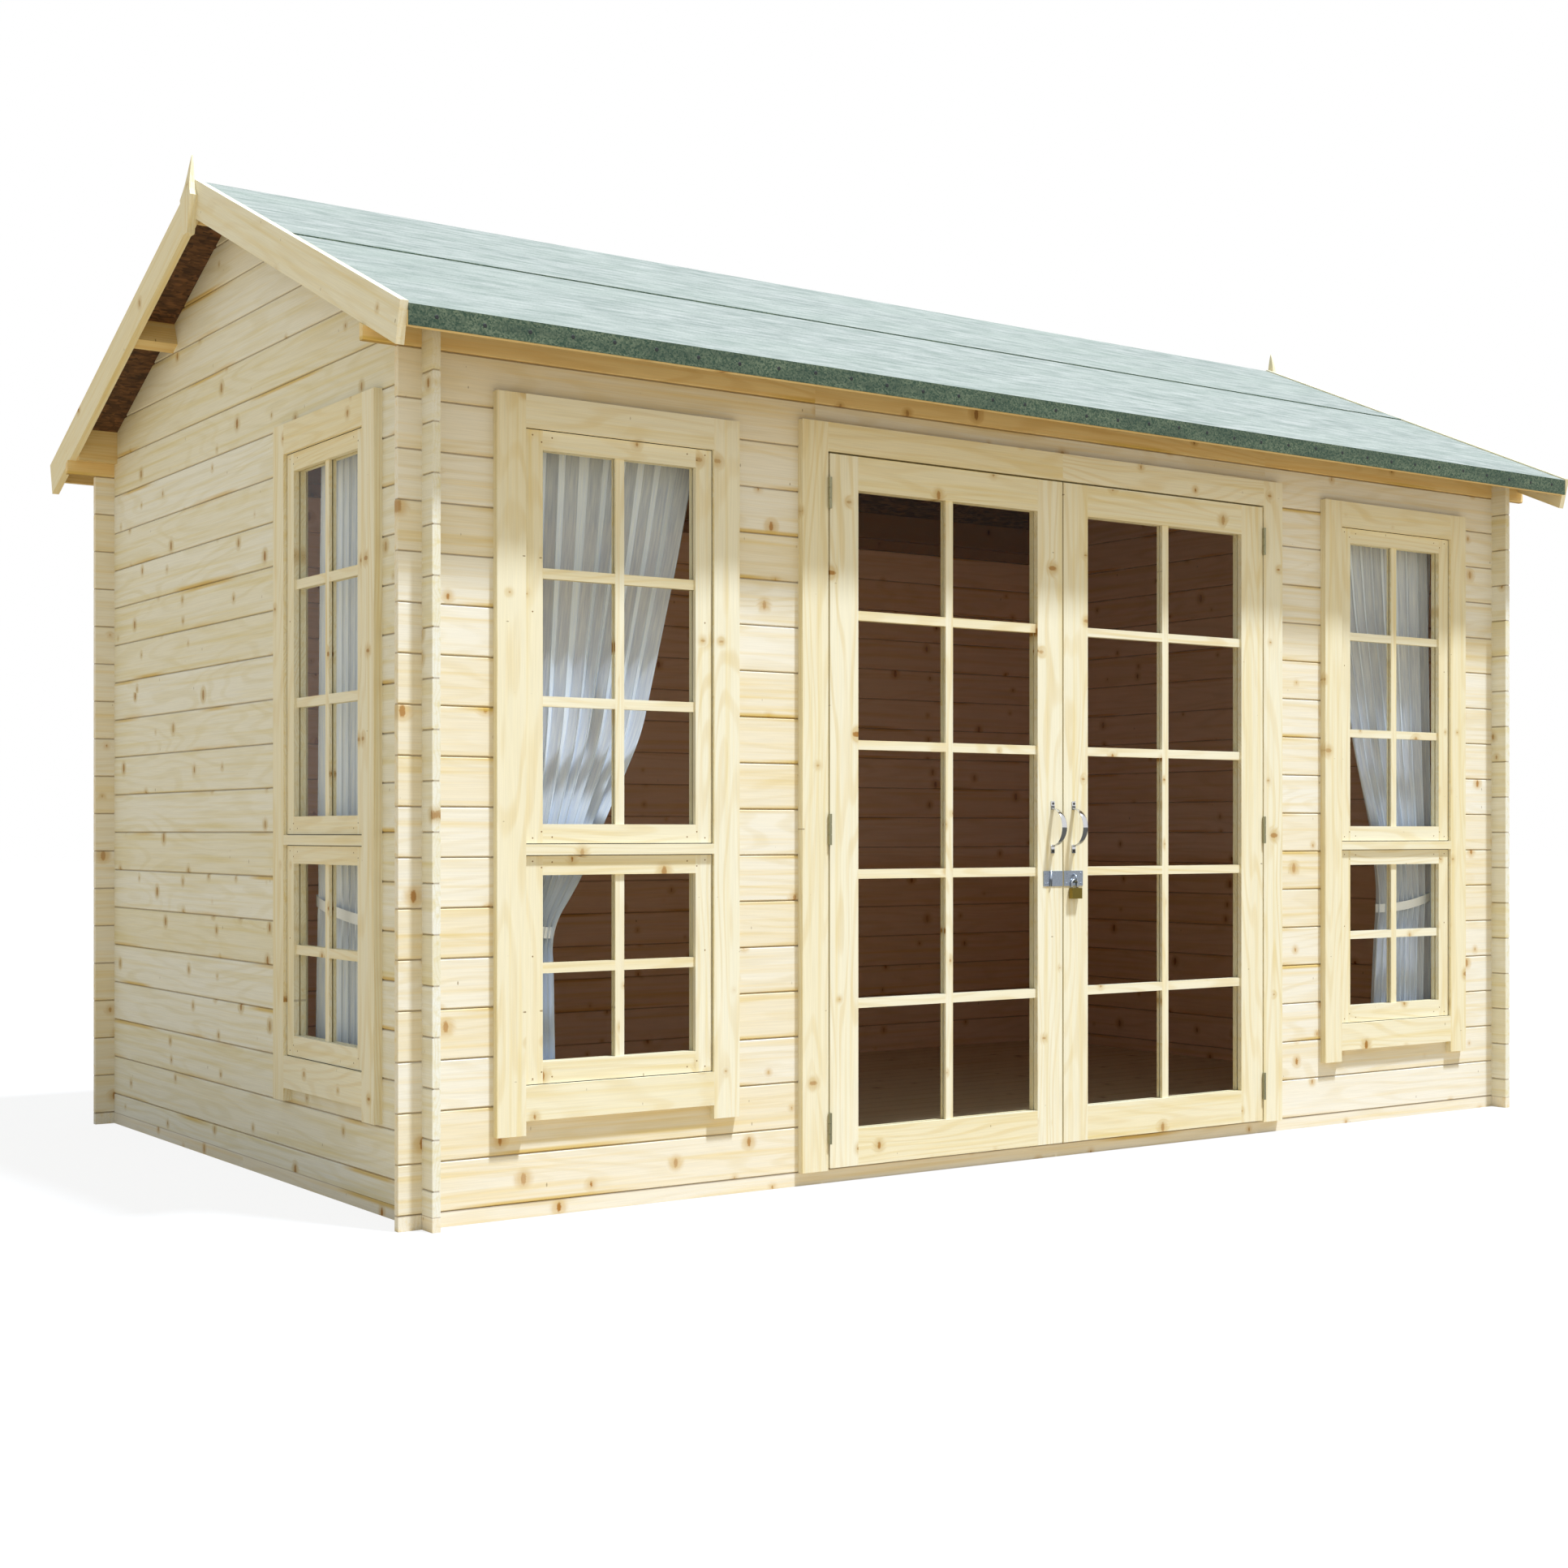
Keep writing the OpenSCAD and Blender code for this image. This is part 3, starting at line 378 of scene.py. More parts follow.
def joinery(middle, edge, bars=None, low=0.0, side=False):
    """Boards, frames and sashes: upright pieces beyond edge from the middle line of the
    unit, and upright glazing bars as bars says; what lies between them is level."""
    def board(tree, x, y, z):
        run, deep = (y, x) if side else (x, y)
        if side:
            flat = add(tree, "Math", run, middle, operation="SUBTRACT")
            hand = add(tree, "Math", run, 0.0, operation="LESS_THAN")
        else:
            off = add(tree, "Math", run, operation="ABSOLUTE")
            flat = add(tree, "Math", off, middle, operation="SUBTRACT")
            hand = add(tree, "Math", run, operation="SIGN")
        away = add(tree, "Math", flat, operation="ABSOLUTE")
        upright = add(tree, "Math", away, edge, operation="GREATER_THAN")
        if bars:
            half, spans = bars
            bar = add(tree, "Math", away, half, operation="LESS_THAN")
            inside = 0.0
            for span_z, span_half in spans:
                near = add(tree, "Math", z, span_z, operation="SUBTRACT")
                near = add(tree, "Math", near, operation="ABSOLUTE")
                near = add(tree, "Math", near, span_half, operation="LESS_THAN")
                inside = add(tree, "Math", near, inside, operation="MAXIMUM")
            bar = add(tree, "Math", bar, inside, operation="MULTIPLY")
            upright = add(tree, "Math", upright, bar, operation="MAXIMUM")
        hand_number = add(tree, "Math", hand, 7.0, 400.0 + 10 * middle, operation="MULTIPLY_ADD")
        level_row = add(tree, "Math", z, low, operation="SUBTRACT")
        level_row = add(tree, "Math", level_row, LEVEL, operation="DIVIDE")
        level_row = add(tree, "Math", level_row, operation="FLOOR")
        level_number = add(tree, "Math", level_row, 19.0, hand_number, operation="MULTIPLY_ADD")
        wing = add(tree, "Math", flat, operation="SIGN")
        upright_number = add(tree, "Math", wing, 29.0, hand_number, operation="MULTIPLY_ADD")
        number = add(tree, "Mix", upright, level_number, upright_number)
        along = add(tree, "Mix", upright, run, z)
        level_across = add(tree, "Math", level_row, -LEVEL, z, operation="MULTIPLY_ADD")
        level_across = add(tree, "Math", level_across, low, operation="SUBTRACT")
        upright_across = add(tree, "Math", away, edge + 0.035, operation="SUBTRACT")
        across = add(tree, "Mix", upright, level_across, upright_across)
        return along, across, deep, number
    return board


LEAF_X = 0.37225          # middle of a door leaf
LEAF_STILE = 0.28575      # from there to the inner edge of its stiles
SASH_STILE = 0.197        # the same for a sash
DOOR_FRAME = 0.747        # inner edge of the door frame's upright boards
LOWEST = 0.145            # where the count of a window's level pieces starts
BAR = 0.0115              # half of the width of a glazing bar
# Upright glazing bars: half width, then the middle and half height of each length
DOOR_BARS = (BAR, [(0.914, 0.785)])
SASH_BARS = (BAR, [(WINDOW_Z + 0.259, 0.208), (WINDOW_Z + 0.9985, 0.4175)])
SIDE_BARS = (BAR, [(z + SIDE_WINDOW_UP, h) for z, h in SASH_BARS[1]])

front_logs = timber("spruce_wall_log_long", long_log, LOGS, gap=LOG / 2, figure=0.45,
                    room=ROOM_WALL_SHADE)
side_logs = timber("spruce_wall_log_side", side_log, SIDE_SHADE_LOGS, gap=LOG / 2, figure=0.45,
                   room=ROOM_WALL_SHADE)
plate_logs = timber("spruce_plate_log", long_log, PLATE_SHADE_TINTS, gap=LOG / 2, figure=0.5,
                    room=ROOM_ROOF_SHADE)
roof_timber = timber("spruce_purlin", beam, EAVES_SHADE_TINTS, figure=0.5, room=ROOM_ROOF_SHADE)
sole_timber = timber("spruce_sole_log", sole_log, LOGS, gap=LOG / 2, figure=0.35)
floor_timber = timber("spruce_floor_board", floor_board, FLOOR, gap=FLOOR_BOARD / 2,
                      rough=0.55)
barge_timber = timber("spruce_bargeboard", barge_board, figure=0.35)
finial_timber = timber("spruce_finial", finial_board)
leaf_timber = timber("spruce_door_leaf", joinery(LEAF_X, LEAF_STILE, DOOR_BARS, low=0.28))
door_board = timber("spruce_door_board", joinery(0.0, DOOR_FRAME, low=0.1))
front_board = timber("spruce_window_board", joinery(WINDOW_X, HALF_SASH, low=LOWEST))
side_board = timber("spruce_side_window_board",
                    joinery(SIDE_WINDOW_Y, HALF_SASH, low=LOWEST, side=True))
front_sash = timber("spruce_sash", joinery(WINDOW_X, SASH_STILE, SASH_BARS, low=LOWEST))
side_sash = timber("spruce_side_sash",
                   joinery(SIDE_WINDOW_Y, SASH_STILE, SIDE_BARS,
                           low=LOWEST + SIDE_WINDOW_UP, side=True))
lining_timber = timber("spruce_window_lining", joinery(WINDOW_X, HALF_SASH, low=LOWEST))


# ---------- other finishes ----------

def strand_board():
    """Oriented strand board: resin-brown flakes about 30 by 8 mm pressed flat in three
    directions, with dark gaps between them."""
    made, tree, output = material("strand_board")
    at = add(tree, "TexCoord").outputs["Object"]
    flakes = []
    for turn, seed in ((0.35, 0.0), (-0.5, 4.7), (1.25, 9.1)):
        mapped = add(tree, "Mapping", at, Location=(seed, seed, 0), Rotation=(0, 0, turn),
                     Scale=(34, 120, 60))
        flakes.append(add(tree, "TexVoronoi", Vector=mapped, Scale=1.0, Randomness=1.0).outputs)
    first, second, third = [add(tree, "SeparateColor", f["Color"]).outputs[0] for f in flakes]
    pick = add(tree, "TexNoise", Vector=at, Scale=30.0, Detail=1.0)
    tone = add(tree, "Mix", add(tree, "MapRange", pick, 0.48, 0.52, 0.0, 1.0), first, second)
    tone = add(tree, "Mix", add(tree, "MapRange", pick, 0.58, 0.60, 0.0, 1.0), tone, third)
    body = add(tree, "Mix", tone, colour("#432A18"), colour("#7E5634"), data_type="RGBA")
    body = tinted(tree, body, colour("#3A2415"), flakes[0]["Distance"], 0.55, 0.75, 0.5)
    bump = add(tree, "Bump", Strength=0.5, Distance=0.0008, Height=tone)
    shader = add(tree, "BsdfPrincipled", Base_Color=body, Roughness=0.7, Normal=bump)
    finish_with(tree, output, shader)
    return made


def roofing_felt():
    """Bitumen felt with green mineral: slate granules of about 1 mm, drawn 3 mm across
    so that they show, faintly streaked along the roll. Faces turned up get a painted
    sheen, a pale mint for the sky's glancing light on the granules, and the edge that is
    turned down keeps the felt's dark green."""
    made, tree, output = material("green_mineral_felt")
    at = add(tree, "TexCoord").outputs["Object"]
    grit = add(tree, "TexVoronoi", Vector=at, Scale=1 / 0.0034)
    grain = add(tree, "SeparateColor", grit.outputs["Color"]).outputs[0]
    streak_at = add(tree, "Mapping", at, Scale=(8, 40, 40))
    streak = add(tree, "TexNoise", Vector=streak_at, Scale=1.0, Detail=4.0, Roughness=0.65)
    cloud_at = add(tree, "Mapping", at, Scale=(1.6, 5, 5))
    cloud = add(tree, "TexNoise", Vector=cloud_at, Scale=1.0, Detail=3.0)
    # Painted sheen: the pale colour of the faces turned up
    light = tinted(tree, colour("#838B80"), colour("#B1B2A7"), streak, 0.35, 0.66)
    light = tinted(tree, light, colour("#9BA394"), cloud, 0.35, 0.7, 0.4)
    light = tinted(tree, light, colour("#667566"), grain, 0.80, 0.95, 0.35)
    deep = tinted(tree, colour("#304836"), colour("#68755D"), grain, 0.1, 0.9)
    deep = tinted(tree, deep, colour("#253B2F"), streak, 0.40, 0.62, 0.5)
    # Painted sheen where the face turns up, the felt's own dark green where it turns down
    painted_sheen_up = add(tree, "SeparateXYZ", add(tree, "NewGeometry").outputs["Normal"]).outputs[2]
    body = tinted(tree, deep, light, painted_sheen_up, 0.3, 0.6)
    height = add(tree, "Math", streak, 1.5, grain, operation="MULTIPLY_ADD")
    bump = add(tree, "Bump", Strength=0.4, Distance=0.001, Height=height)
    shader = add(tree, "BsdfPrincipled", Base_Color=body, Roughness=0.9, Normal=bump)
    finish_with(tree, output, shader)
    return made


def window_pane():
    """Float glass, 4 mm: clear, and a mirror at low angles."""
    made, tree, output = material("float_glass")
    clear = add(tree, "BsdfTransparent", Color=colour("#FDFDFB"))
    at = add(tree, "TexCoord").outputs["Object"]
    wave = add(tree, "TexNoise", Vector=at, Scale=2.5, Detail=1.0)
    bump = add(tree, "Bump", Strength=0.06, Distance=0.002, Height=wave)
    mirror = add(tree, "BsdfAnisotropic", Color=(1, 1, 1, 1), Roughness=0.02, Normal=bump)
    lean = add(tree, "LayerWeight", Blend=0.5).outputs["Facing"]
    share = add(tree, "Math", lean, 5.0, operation="POWER")
    share = add(tree, "Math", share, 0.25, 0.004, operation="MULTIPLY_ADD")
    finish_with(tree, output, add(tree, "MixShader", share, clear, mirror))
    return made


def metal(name, code, rough, spread, grain=900.0, above=None):
    """A worked metal: its colour, and the small unevenness of its polish, grain in
    cycles a metre. above, if given, is a height and the colour of what stands over it."""
    made, tree, output = material(name)
    at = add(tree, "TexCoord").outputs["Object"]
    cloud = add(tree, "TexNoise", Vector=at, Scale=grain, Detail=3.0)
    base = colour(code)
    dark = tuple(c * 0.82 for c in base[:3]) + (1.0,)
    body = tinted(tree, base, dark, cloud, 0.4, 0.7)
    if above:
        height, other = above
        up = add(tree, "SeparateXYZ", at).outputs[2]
        up = add(tree, "Math", up, height, operation="GREATER_THAN")
        body = add(tree, "Mix", up, body, colour(other), data_type="RGBA")
    dull = add(tree, "MapRange", cloud, 0.3, 0.7, rough, rough + spread)
    shader = add(tree, "BsdfPrincipled", Base_Color=body, Roughness=dull, Metallic=1.0)
    finish_with(tree, output, shader)
    return made


def painted(name, code, rough):
    """A smooth painted or coated surface with slight orange peel"""
    made, tree, output = material(name)
    at = add(tree, "TexCoord").outputs["Object"]
    peel = add(tree, "TexNoise", Vector=at, Scale=700.0, Detail=2.0)
    base = colour(code)
    light = tuple(min(1.0, c * 1.12 + 0.01) for c in base[:3]) + (1.0,)
    body = tinted(tree, base, light, peel, 0.4, 0.7)
    bump = add(tree, "Bump", Strength=0.15, Distance=0.0004, Height=peel)
    shader = add(tree, "BsdfPrincipled", Base_Color=body, Roughness=rough, Normal=bump)
    finish_with(tree, output, shader)
    return made


def voile():
    """Cotton voile: a sheer white plain weave, more open to a square look than to a
    slanting one. The 0.4 mm threads are drawn 2 mm apart so that they show."""
    made, tree, output = material("cotton_voile")
    uv = add(tree, "TexCoord").outputs["UV"]
    at = add(tree, "SeparateXYZ", uv).outputs
    weave = None
    for axis in (0, 1):
        thread = add(tree, "Math", at[axis], 2 * math.pi / 0.002, operation="MULTIPLY")
        thread = add(tree, "Math", thread, operation="SINE")
        weave = thread if weave is None else add(tree, "Math", weave, thread, operation="ADD")
    slub_at = add(tree, "Mapping", uv, Scale=(400, 12, 1))
    slub = add(tree, "TexNoise", Vector=slub_at, Scale=1.0, Detail=2.0)
    body = tinted(tree, colour("#DFEAFF"), colour("#F2F8FF"), slub, 0.3, 0.7)
    bump = add(tree, "Bump", Strength=0.12, Distance=0.0004, Height=weave)
    matt = add(tree, "BsdfDiffuse", Color=body, Normal=bump)
    through = add(tree, "BsdfTranslucent", Color=body, Normal=bump)
    cloth = add(tree, "MixShader", 0.04, matt, through)
    lean = add(tree, "LayerWeight", Blend=0.5).outputs["Facing"]
    hole = add(tree, "MapRange", lean, 0.02, 0.24, 0.32, 0.0)
    loose = add(tree, "MapRange", slub, 0.25, 0.75, 1.2, 0.8)
    hole = add(tree, "Math", loose, hole, operation="MULTIPLY")
    clear = add(tree, "BsdfTransparent", Color=(1, 1, 1, 1))
    finish_with(tree, output, add(tree, "MixShader", hole, cloth, clear))
    return made


osb = strand_board()
felt = roofing_felt()
glass = window_pane()
chrome = metal("chrome_plated_zinc_casting", "#D9DADC", 0.07, 0.08)
zinc = metal("zinc_plated_steel", "#B9C3D0", 0.30, 0.14, grain=260.0)
brass = metal("brass_lock_steel_shackle", "#94803F", 0.30, 0.2, above=(0.7125, "#C3C6C8"))
hinge_steel = metal("yellow_passivated_steel", "#B7B290", 0.42, 0.2)
nail_steel = painted("blackened_clout_nail", "#141A17", 0.55)
# Painted shade: a black strip that stands for the shadow in the gap round the sashes
gap_shade_black = painted("painted_shade_sash_gap", "#120F0B", 0.7)
# Painted shade: the screw heads are dark all over, standing in for the shade in their recesses
shaded_screw_heads = painted("painted_shade_screw_head", "#2A251F", 0.5)
# Pins through the sash corners: brown dots, the pin heads with painted shade of their punched holes
pin_hole_shade = painted("pin_head_and_painted_hole_shade", "#8A6B3C", 0.6)
# Lap cement, black also as painted shadow under the edge of the ridge strip
lap_cement_and_shadow = painted("lap_cement_and_painted_shadow", "#15191A", 0.45)
rod_enamel = painted("white_rod_enamel", "#E9E7E0", 0.35)
cloth = voile()
tie_cotton = painted("cotton_tie_band", "#F1F5FF", 0.95)

FINISHES = {
    front_logs: ["front_wall_left", "front_wall_right", "front_wall_over_door", "back_wall"],
    side_logs: ["left_wall", "right_wall", "left_gable", "right_gable"],
    plate_logs: ["wall_plates"],
    roof_timber: ["eaves_purlins", "middle_purlins", "ridge_purlin", "eaves_battens"],
    sole_timber: ["base_frame"],
    floor_timber: ["floor_boards"],
    barge_timber: ["bargeboard_left_front", "bargeboard_left_back",
                   "bargeboard_right_front", "bargeboard_right_back"],
    finial_timber: ["finials"],
    leaf_timber: ["left_door", "right_door"],
    door_board: ["door_frame", "door_trim"],
    front_board: ["left_window_trim", "right_window_trim"],
    side_board: ["side_window_trim"],
    lining_timber: ["window_frames"],
    front_sash: ["left_window_sashes", "right_window_sashes"],
    side_sash: ["side_window_sashes"],
    osb: ["roof_boards_front", "roof_boards_back"],
    felt: ["felt_front", "felt_back", "felt_ridge"],
    glass: ["window_glass", "left_door_glass", "right_door_glass"],
    zinc: ["hasp_plate", "hasp_staple"],
    brass: ["padlock"],
    chrome: ["left_handle", "right_handle"],
    hinge_steel: ["frame_hinges", "left_door_hinges", "right_door_hinges"],
    rod_enamel: ["curtain_rods"],
    cloth: ["left_curtain", "right_curtain", "side_curtain"],
}
for finish, names in FINISHES.items():
    for name in names:
        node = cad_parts[name]
        node.data.materials.clear()
        node.data.materials.append(finish)


# ---------- shapes ----------

def mesh_object(name, form, finish):
    """Makes an object of a bmesh, with its finish."""
    mesh = bpy.data.meshes.new(name)
    form.to_mesh(mesh)
    form.free()
    mesh.materials.append(finish)
    made = bpy.data.objects.new(name, mesh)
    bpy.context.scene.collection.objects.link(made)
    return made


def piece(name, form, finish, body, smooth=False):
    """A piece of the cabin, riding on a body"""
    made = mesh_object(name, form, finish)
    for face in made.data.polygons:
        face.use_smooth = smooth
    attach(made, body)
    return made


def disc_head(form, at, turn, radius, depth, sides=10, taper=0.75):
    """A nail or screw head: a low cone frustum standing on a face at a place. Its axis
    is Z turned by the matrix turn."""
    place = Matrix.Translation(at) @ turn @ Matrix.Translation((0, 0, depth / 2))
    bmesh.ops.create_cone(form, cap_ends=True, cap_tris=False, segments=sides,
                          radius1=radius, radius2=radius * taper, depth=depth, matrix=place)


TO_FRONT = Matrix.Rotation(math.radians(90), 4, "X")     # Z turned to -Y
TO_BACK = Matrix.Rotation(math.radians(-90), 4, "X")     # Z turned to +Y


NAILS = 36                # along one hem
NAIL_PITCH = 0.105
NAIL_R, NAIL_T = 0.0052, 0.0006
HEM_Y, HEM_Z = 1.2868, 1.929

# Clout nails along both hems of the felt, driven tight, not quite evenly
form = bmesh.new()
for i in range(NAILS):
    x = (i - (NAILS - 1) / 2) * NAIL_PITCH - 0.0005 + 0.004 * math.sin(7.3 * i)
    z = HEM_Z + 0.003 * math.sin(5.1 * i)
    for hem, turn in ((-HEM_Y, TO_FRONT), (HEM_Y, TO_BACK)):
        disc_head(form, (x, hem, z), turn, NAIL_R, NAIL_T)
piece("felt_clout_nails", form, nail_steel, "cabin")

STRIP_EDGE = 0.623        # edge of the ridge strip, from the ridge
CEMENT_W, CEMENT_T = 0.0060, 0.0028
CEMENT_L = 3.796

# A black strip along both edges of the ridge strip: lap cement squeezed out, and painted shadow of
# the strip's edge
cement_y = STRIP_EDGE + 0.0025
cement_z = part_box("felt_ridge")[1][2] - STRIP_EDGE * math.tan(SLOPE) - 0.0048
form = bmesh.new()
for side in (-1, 1):
    place = Matrix.Translation((0, side * cement_y, cement_z))
    place = place @ Matrix.Rotation(-side * SLOPE, 4, "X")
    place = place @ Matrix.Diagonal((CEMENT_L, CEMENT_W, CEMENT_T, 1.0))
    made = bmesh.ops.create_cube(form, size=1.0, matrix=place)
    long_edges = [e for e in {e for v in made["verts"] for e in v.link_edges}
                  if abs((e.verts[0].co - e.verts[1].co).x) > 1]
    bmesh.ops.subdivide_edges(form, edges=long_edges, cuts=150, use_grid_fill=True)
for vert in form.verts:
    vert.co.y += 0.0007 * math.sin(31 * vert.co.x) * math.sin(13 * vert.co.x)
piece("felt_lap_cement_and_shadow", form, lap_cement_and_shadow, "cabin")


# ---------- fittings ----------

HANDLE_X, HANDLE_Z = 0.036, 0.871     # off the meeting line, and up
BOW_R = 0.0495            # radius of the handle's bow
TAB_X, TAB_T = 0.006, 0.0028          # half width and thickness of its tabs
HASP_Z = 0.736
HASP_T = 0.002            # thickness of the hasp's plates
KNUCKLE_R = 0.0034


def box(form, low, high, bevel=0.0):
    """A block between two corners, its edges rounded by bevel"""
    size = [b - a for a, b in zip(low, high)]
    middle = [(a + b) / 2 for a, b in zip(low, high)]
    place = Matrix.Translation(middle) @ Matrix.Diagonal((*size, 1.0))
    made = bmesh.ops.create_cube(form, size=1.0, matrix=place)
    if bevel:
        edges = {e for v in made["verts"] for e in v.link_edges}
        bmesh.ops.bevel(form, geom=list(edges), offset=bevel, segments=3, profile=0.5,
                        material=-1, affect="EDGES")


def pull_form(x):
    """A cast bow handle: a half ring, widest in the middle of the bow, that runs into
    a rounded tab at each end, where a screw goes"""
    form = bmesh.new()
    section = Matrix.Translation((x, TRIM, HANDLE_Z - BOW_R))
    section = section @ Matrix.Diagonal((0.0056, 1.0, 0.0019, 1.0)) @ TO_FRONT
    bmesh.ops.create_circle(form, cap_ends=True, segments=20, radius=1.0, matrix=section)
    bmesh.ops.spin(form, geom=[*form.verts, *form.edges, *form.faces],
                   cent=(x, TRIM, HANDLE_Z), axis=(1, 0, 0), angle=-math.pi, steps=36)
    for vert in form.verts:
        reach = max(0.0, TRIM - vert.co.y) / BOW_R
        vert.co.x = x + (vert.co.x - x) * (1 + 0.50 * reach * reach)
    for end in (-1, 1):
        z = HANDLE_Z + end * 0.0575
        box(form, (x - TAB_X, TRIM - TAB_T, z - 0.0115), (x + TAB_X, TRIM, z + 0.0115), 0.0013)
    bmesh.ops.recalc_face_normals(form, faces=form.faces)
    return form


for name, body, x in (("left", "left_leaf", -HANDLE_X), ("right", "right_leaf", HANDLE_X)):
    pull = piece(name + "_bow_pull", pull_form(x), chrome, body, smooth=True)
    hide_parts(name + "_handle")
    form = bmesh.new()
    for end in (-1, 1):
        disc_head(form, (x, TRIM - TAB_T, HANDLE_Z + end * 0.0625), TO_FRONT, 0.0038, 0.0012,
                  sides=20, taper=0.6)
    piece(name + "_pull_screws", form, shaded_screw_heads, body)

# Screws of the hasp, and its knuckle
for name, body, across in (("left", "left_leaf", (-0.053, -0.061)),
                           ("right", "right_leaf", (0.012, 0.061))):
    form = bmesh.new()
    for x in across:
        for up in (-0.013, 0.013):
            disc_head(form, (x, TRIM - HASP_T, HASP_Z + up), TO_FRONT, 0.0026, 0.0008, sides=16)
    piece(name + "_hasp_screws", form, zinc, body)
form = bmesh.new()
bmesh.ops.create_cone(form, cap_ends=True, segments=20, radius1=KNUCKLE_R, radius2=KNUCKLE_R,
                      depth=0.040, matrix=Matrix.Translation((-0.044, TRIM - KNUCKLE_R, HASP_Z)))
piece("hasp_knuckle", form, zinc, "left_leaf", smooth=True)

# A black strip in the gap round each sash, painted shade of the gap, and the pins through the sash
# corners
SASHES = ((WINDOW_Z + SASH_GAP, 0.805), (0.833, WINDOW_Z + WINDOW_H - SASH_GAP))    # foot and head
GAP_OUT, GAP_IN = -0.0100, -0.0005      # from the outer face of the logs
SASH_FACE = -0.011
PIN_R, PIN_T = 0.0019, 0.0003
CORNER_PINS = ((0.018, 0.012), (0.040, 0.026), (0.066, 0.014))    # inwards, and up or down


def window_places():
    """The middle of each window at the logs' outer face, with X along the wall and Y
    inwards, as matrices"""
    left = Matrix.Translation((-WINDOW_X, FRONT, 0))
    right = Matrix.Translation((WINDOW_X, FRONT, 0))
    side = Matrix.Translation((-SIDE, SIDE_WINDOW_Y, SIDE_WINDOW_UP))
    return left, right, side @ Matrix.Rotation(math.radians(-90), 4, "Z")


gap_shade = bmesh.new()
pins = bmesh.new()
EDGE = HALF_SASH - SASH_GAP   # outer edge of a sash
for place in window_places():
    first = len(gap_shade.verts)
    turn = place.to_3x3().to_4x4() @ TO_FRONT
    for low, high in SASHES:
        for x1, x2 in ((-HALF_SASH, -EDGE), (EDGE, HALF_SASH)):
            box(gap_shade, (x1, GAP_OUT, low - SASH_GAP), (x2, GAP_IN, high + SASH_GAP))
        for z in (low - SASH_GAP, high):
            box(gap_shade, (-EDGE, GAP_OUT, z), (EDGE, GAP_IN, z + SASH_GAP))
        heads = [(off, rail + end * up)
                 for rail, end in ((low, 1), (high, -1)) for off, up in CORNER_PINS]
        heads.append((0.018, low + 0.56 * (high - low)))
        for hand in (-1, 1):
            for off, z in heads:
                at = place @ Vector((hand * (EDGE - off), SASH_FACE, z))
                disc_head(pins, at, turn, PIN_R, PIN_T, sides=8)
    gap_shade.verts.ensure_lookup_table()
    bmesh.ops.transform(gap_shade, matrix=place, verts=gap_shade.verts[first:])
piece("sash_gap_shade", gap_shade, gap_shade_black, "cabin")
piece("sash_pins", pins, pin_hole_shade, "cabin")


# ---------- curtains ----------

CURTAIN_W = 0.70          # width of the cloth before it is gathered
CURTAIN_L = 1.52
FOLDS = 10
SWAY = 0.12               # how far a fold leans over sideways, as a share of its pitch
REACH = 0.248             # half of the drawn width at the rod
TOP_Z, FOOT_Z = 1.4765, -0.018
MIDDLE_Y = 0.063          # middle of the folds, inwards from the outer log face
FOLD_LIMIT = 0.0172       # how far a fold may swing in the room it has
BAND_H = 0.026            # height of a tie's band
BAND_DEEP = 0.0178        # half of its depth, from front to back
# How wide each curtain hangs, from the rod down: heights and widths
TIGHT = [(TOP_Z, 0.496), (1.21, 0.442), (0.79, 0.340), (0.58, 0.237), (0.45, 0.176),
         (TIE_Z, 0.099), (TIE_Z - 0.05, 0.108), (-0.06, 0.114)]
LOOSE = [(TOP_Z, 0.496), (1.21, 0.455), (0.79, 0.356), (0.58, 0.286), (0.45, 0.260),
         (TIE_Z, 0.248), (TIE_Z - 0.06, 0.262), (-0.06, 0.285)]
STRAIGHT = [(TOP_Z, 0.440), (1.21, 0.450), (0.58, 0.465), (TIE_Z, 0.455),
            (TIE_Z - 0.08, 0.470), (-0.06, 0.480)]


def drawn_width(hang, z):
    """How wide the cloth hangs at a height"""
    total = 0.0
    for step in range(-3, 4):
        at = min(max(z + 0.015 * step, hang[-1][0]), hang[0][0])
        for (z1, w1), (z0, w0) in zip(hang, hang[1:]):
            if z0 <= at <= z1:
                total += w0 + (w1 - w0) * (at - z0) / (z1 - z0)
                break
    return total / 7


def fold_depth(width):
    """How far folds swing to take up the whole width of cloth"""
    period = width / FOLDS
    low, high = 0.0, 0.03
    for _ in range(24):
        swing = (low + high) / 2
        length = 0.0
        for step in range(24):
            turn = 2 * math.pi * (step + 0.5) / 24
            length += math.hypot(1 + 4 * math.pi * SWAY * math.cos(2 * turn),
                                 2 * math.pi * swing / period * math.cos(turn)) * width / 24
        low, high = (swing, high) if length < CURTAIN_W else (low, swing)
    return min(swing, FOLD_LIMIT)


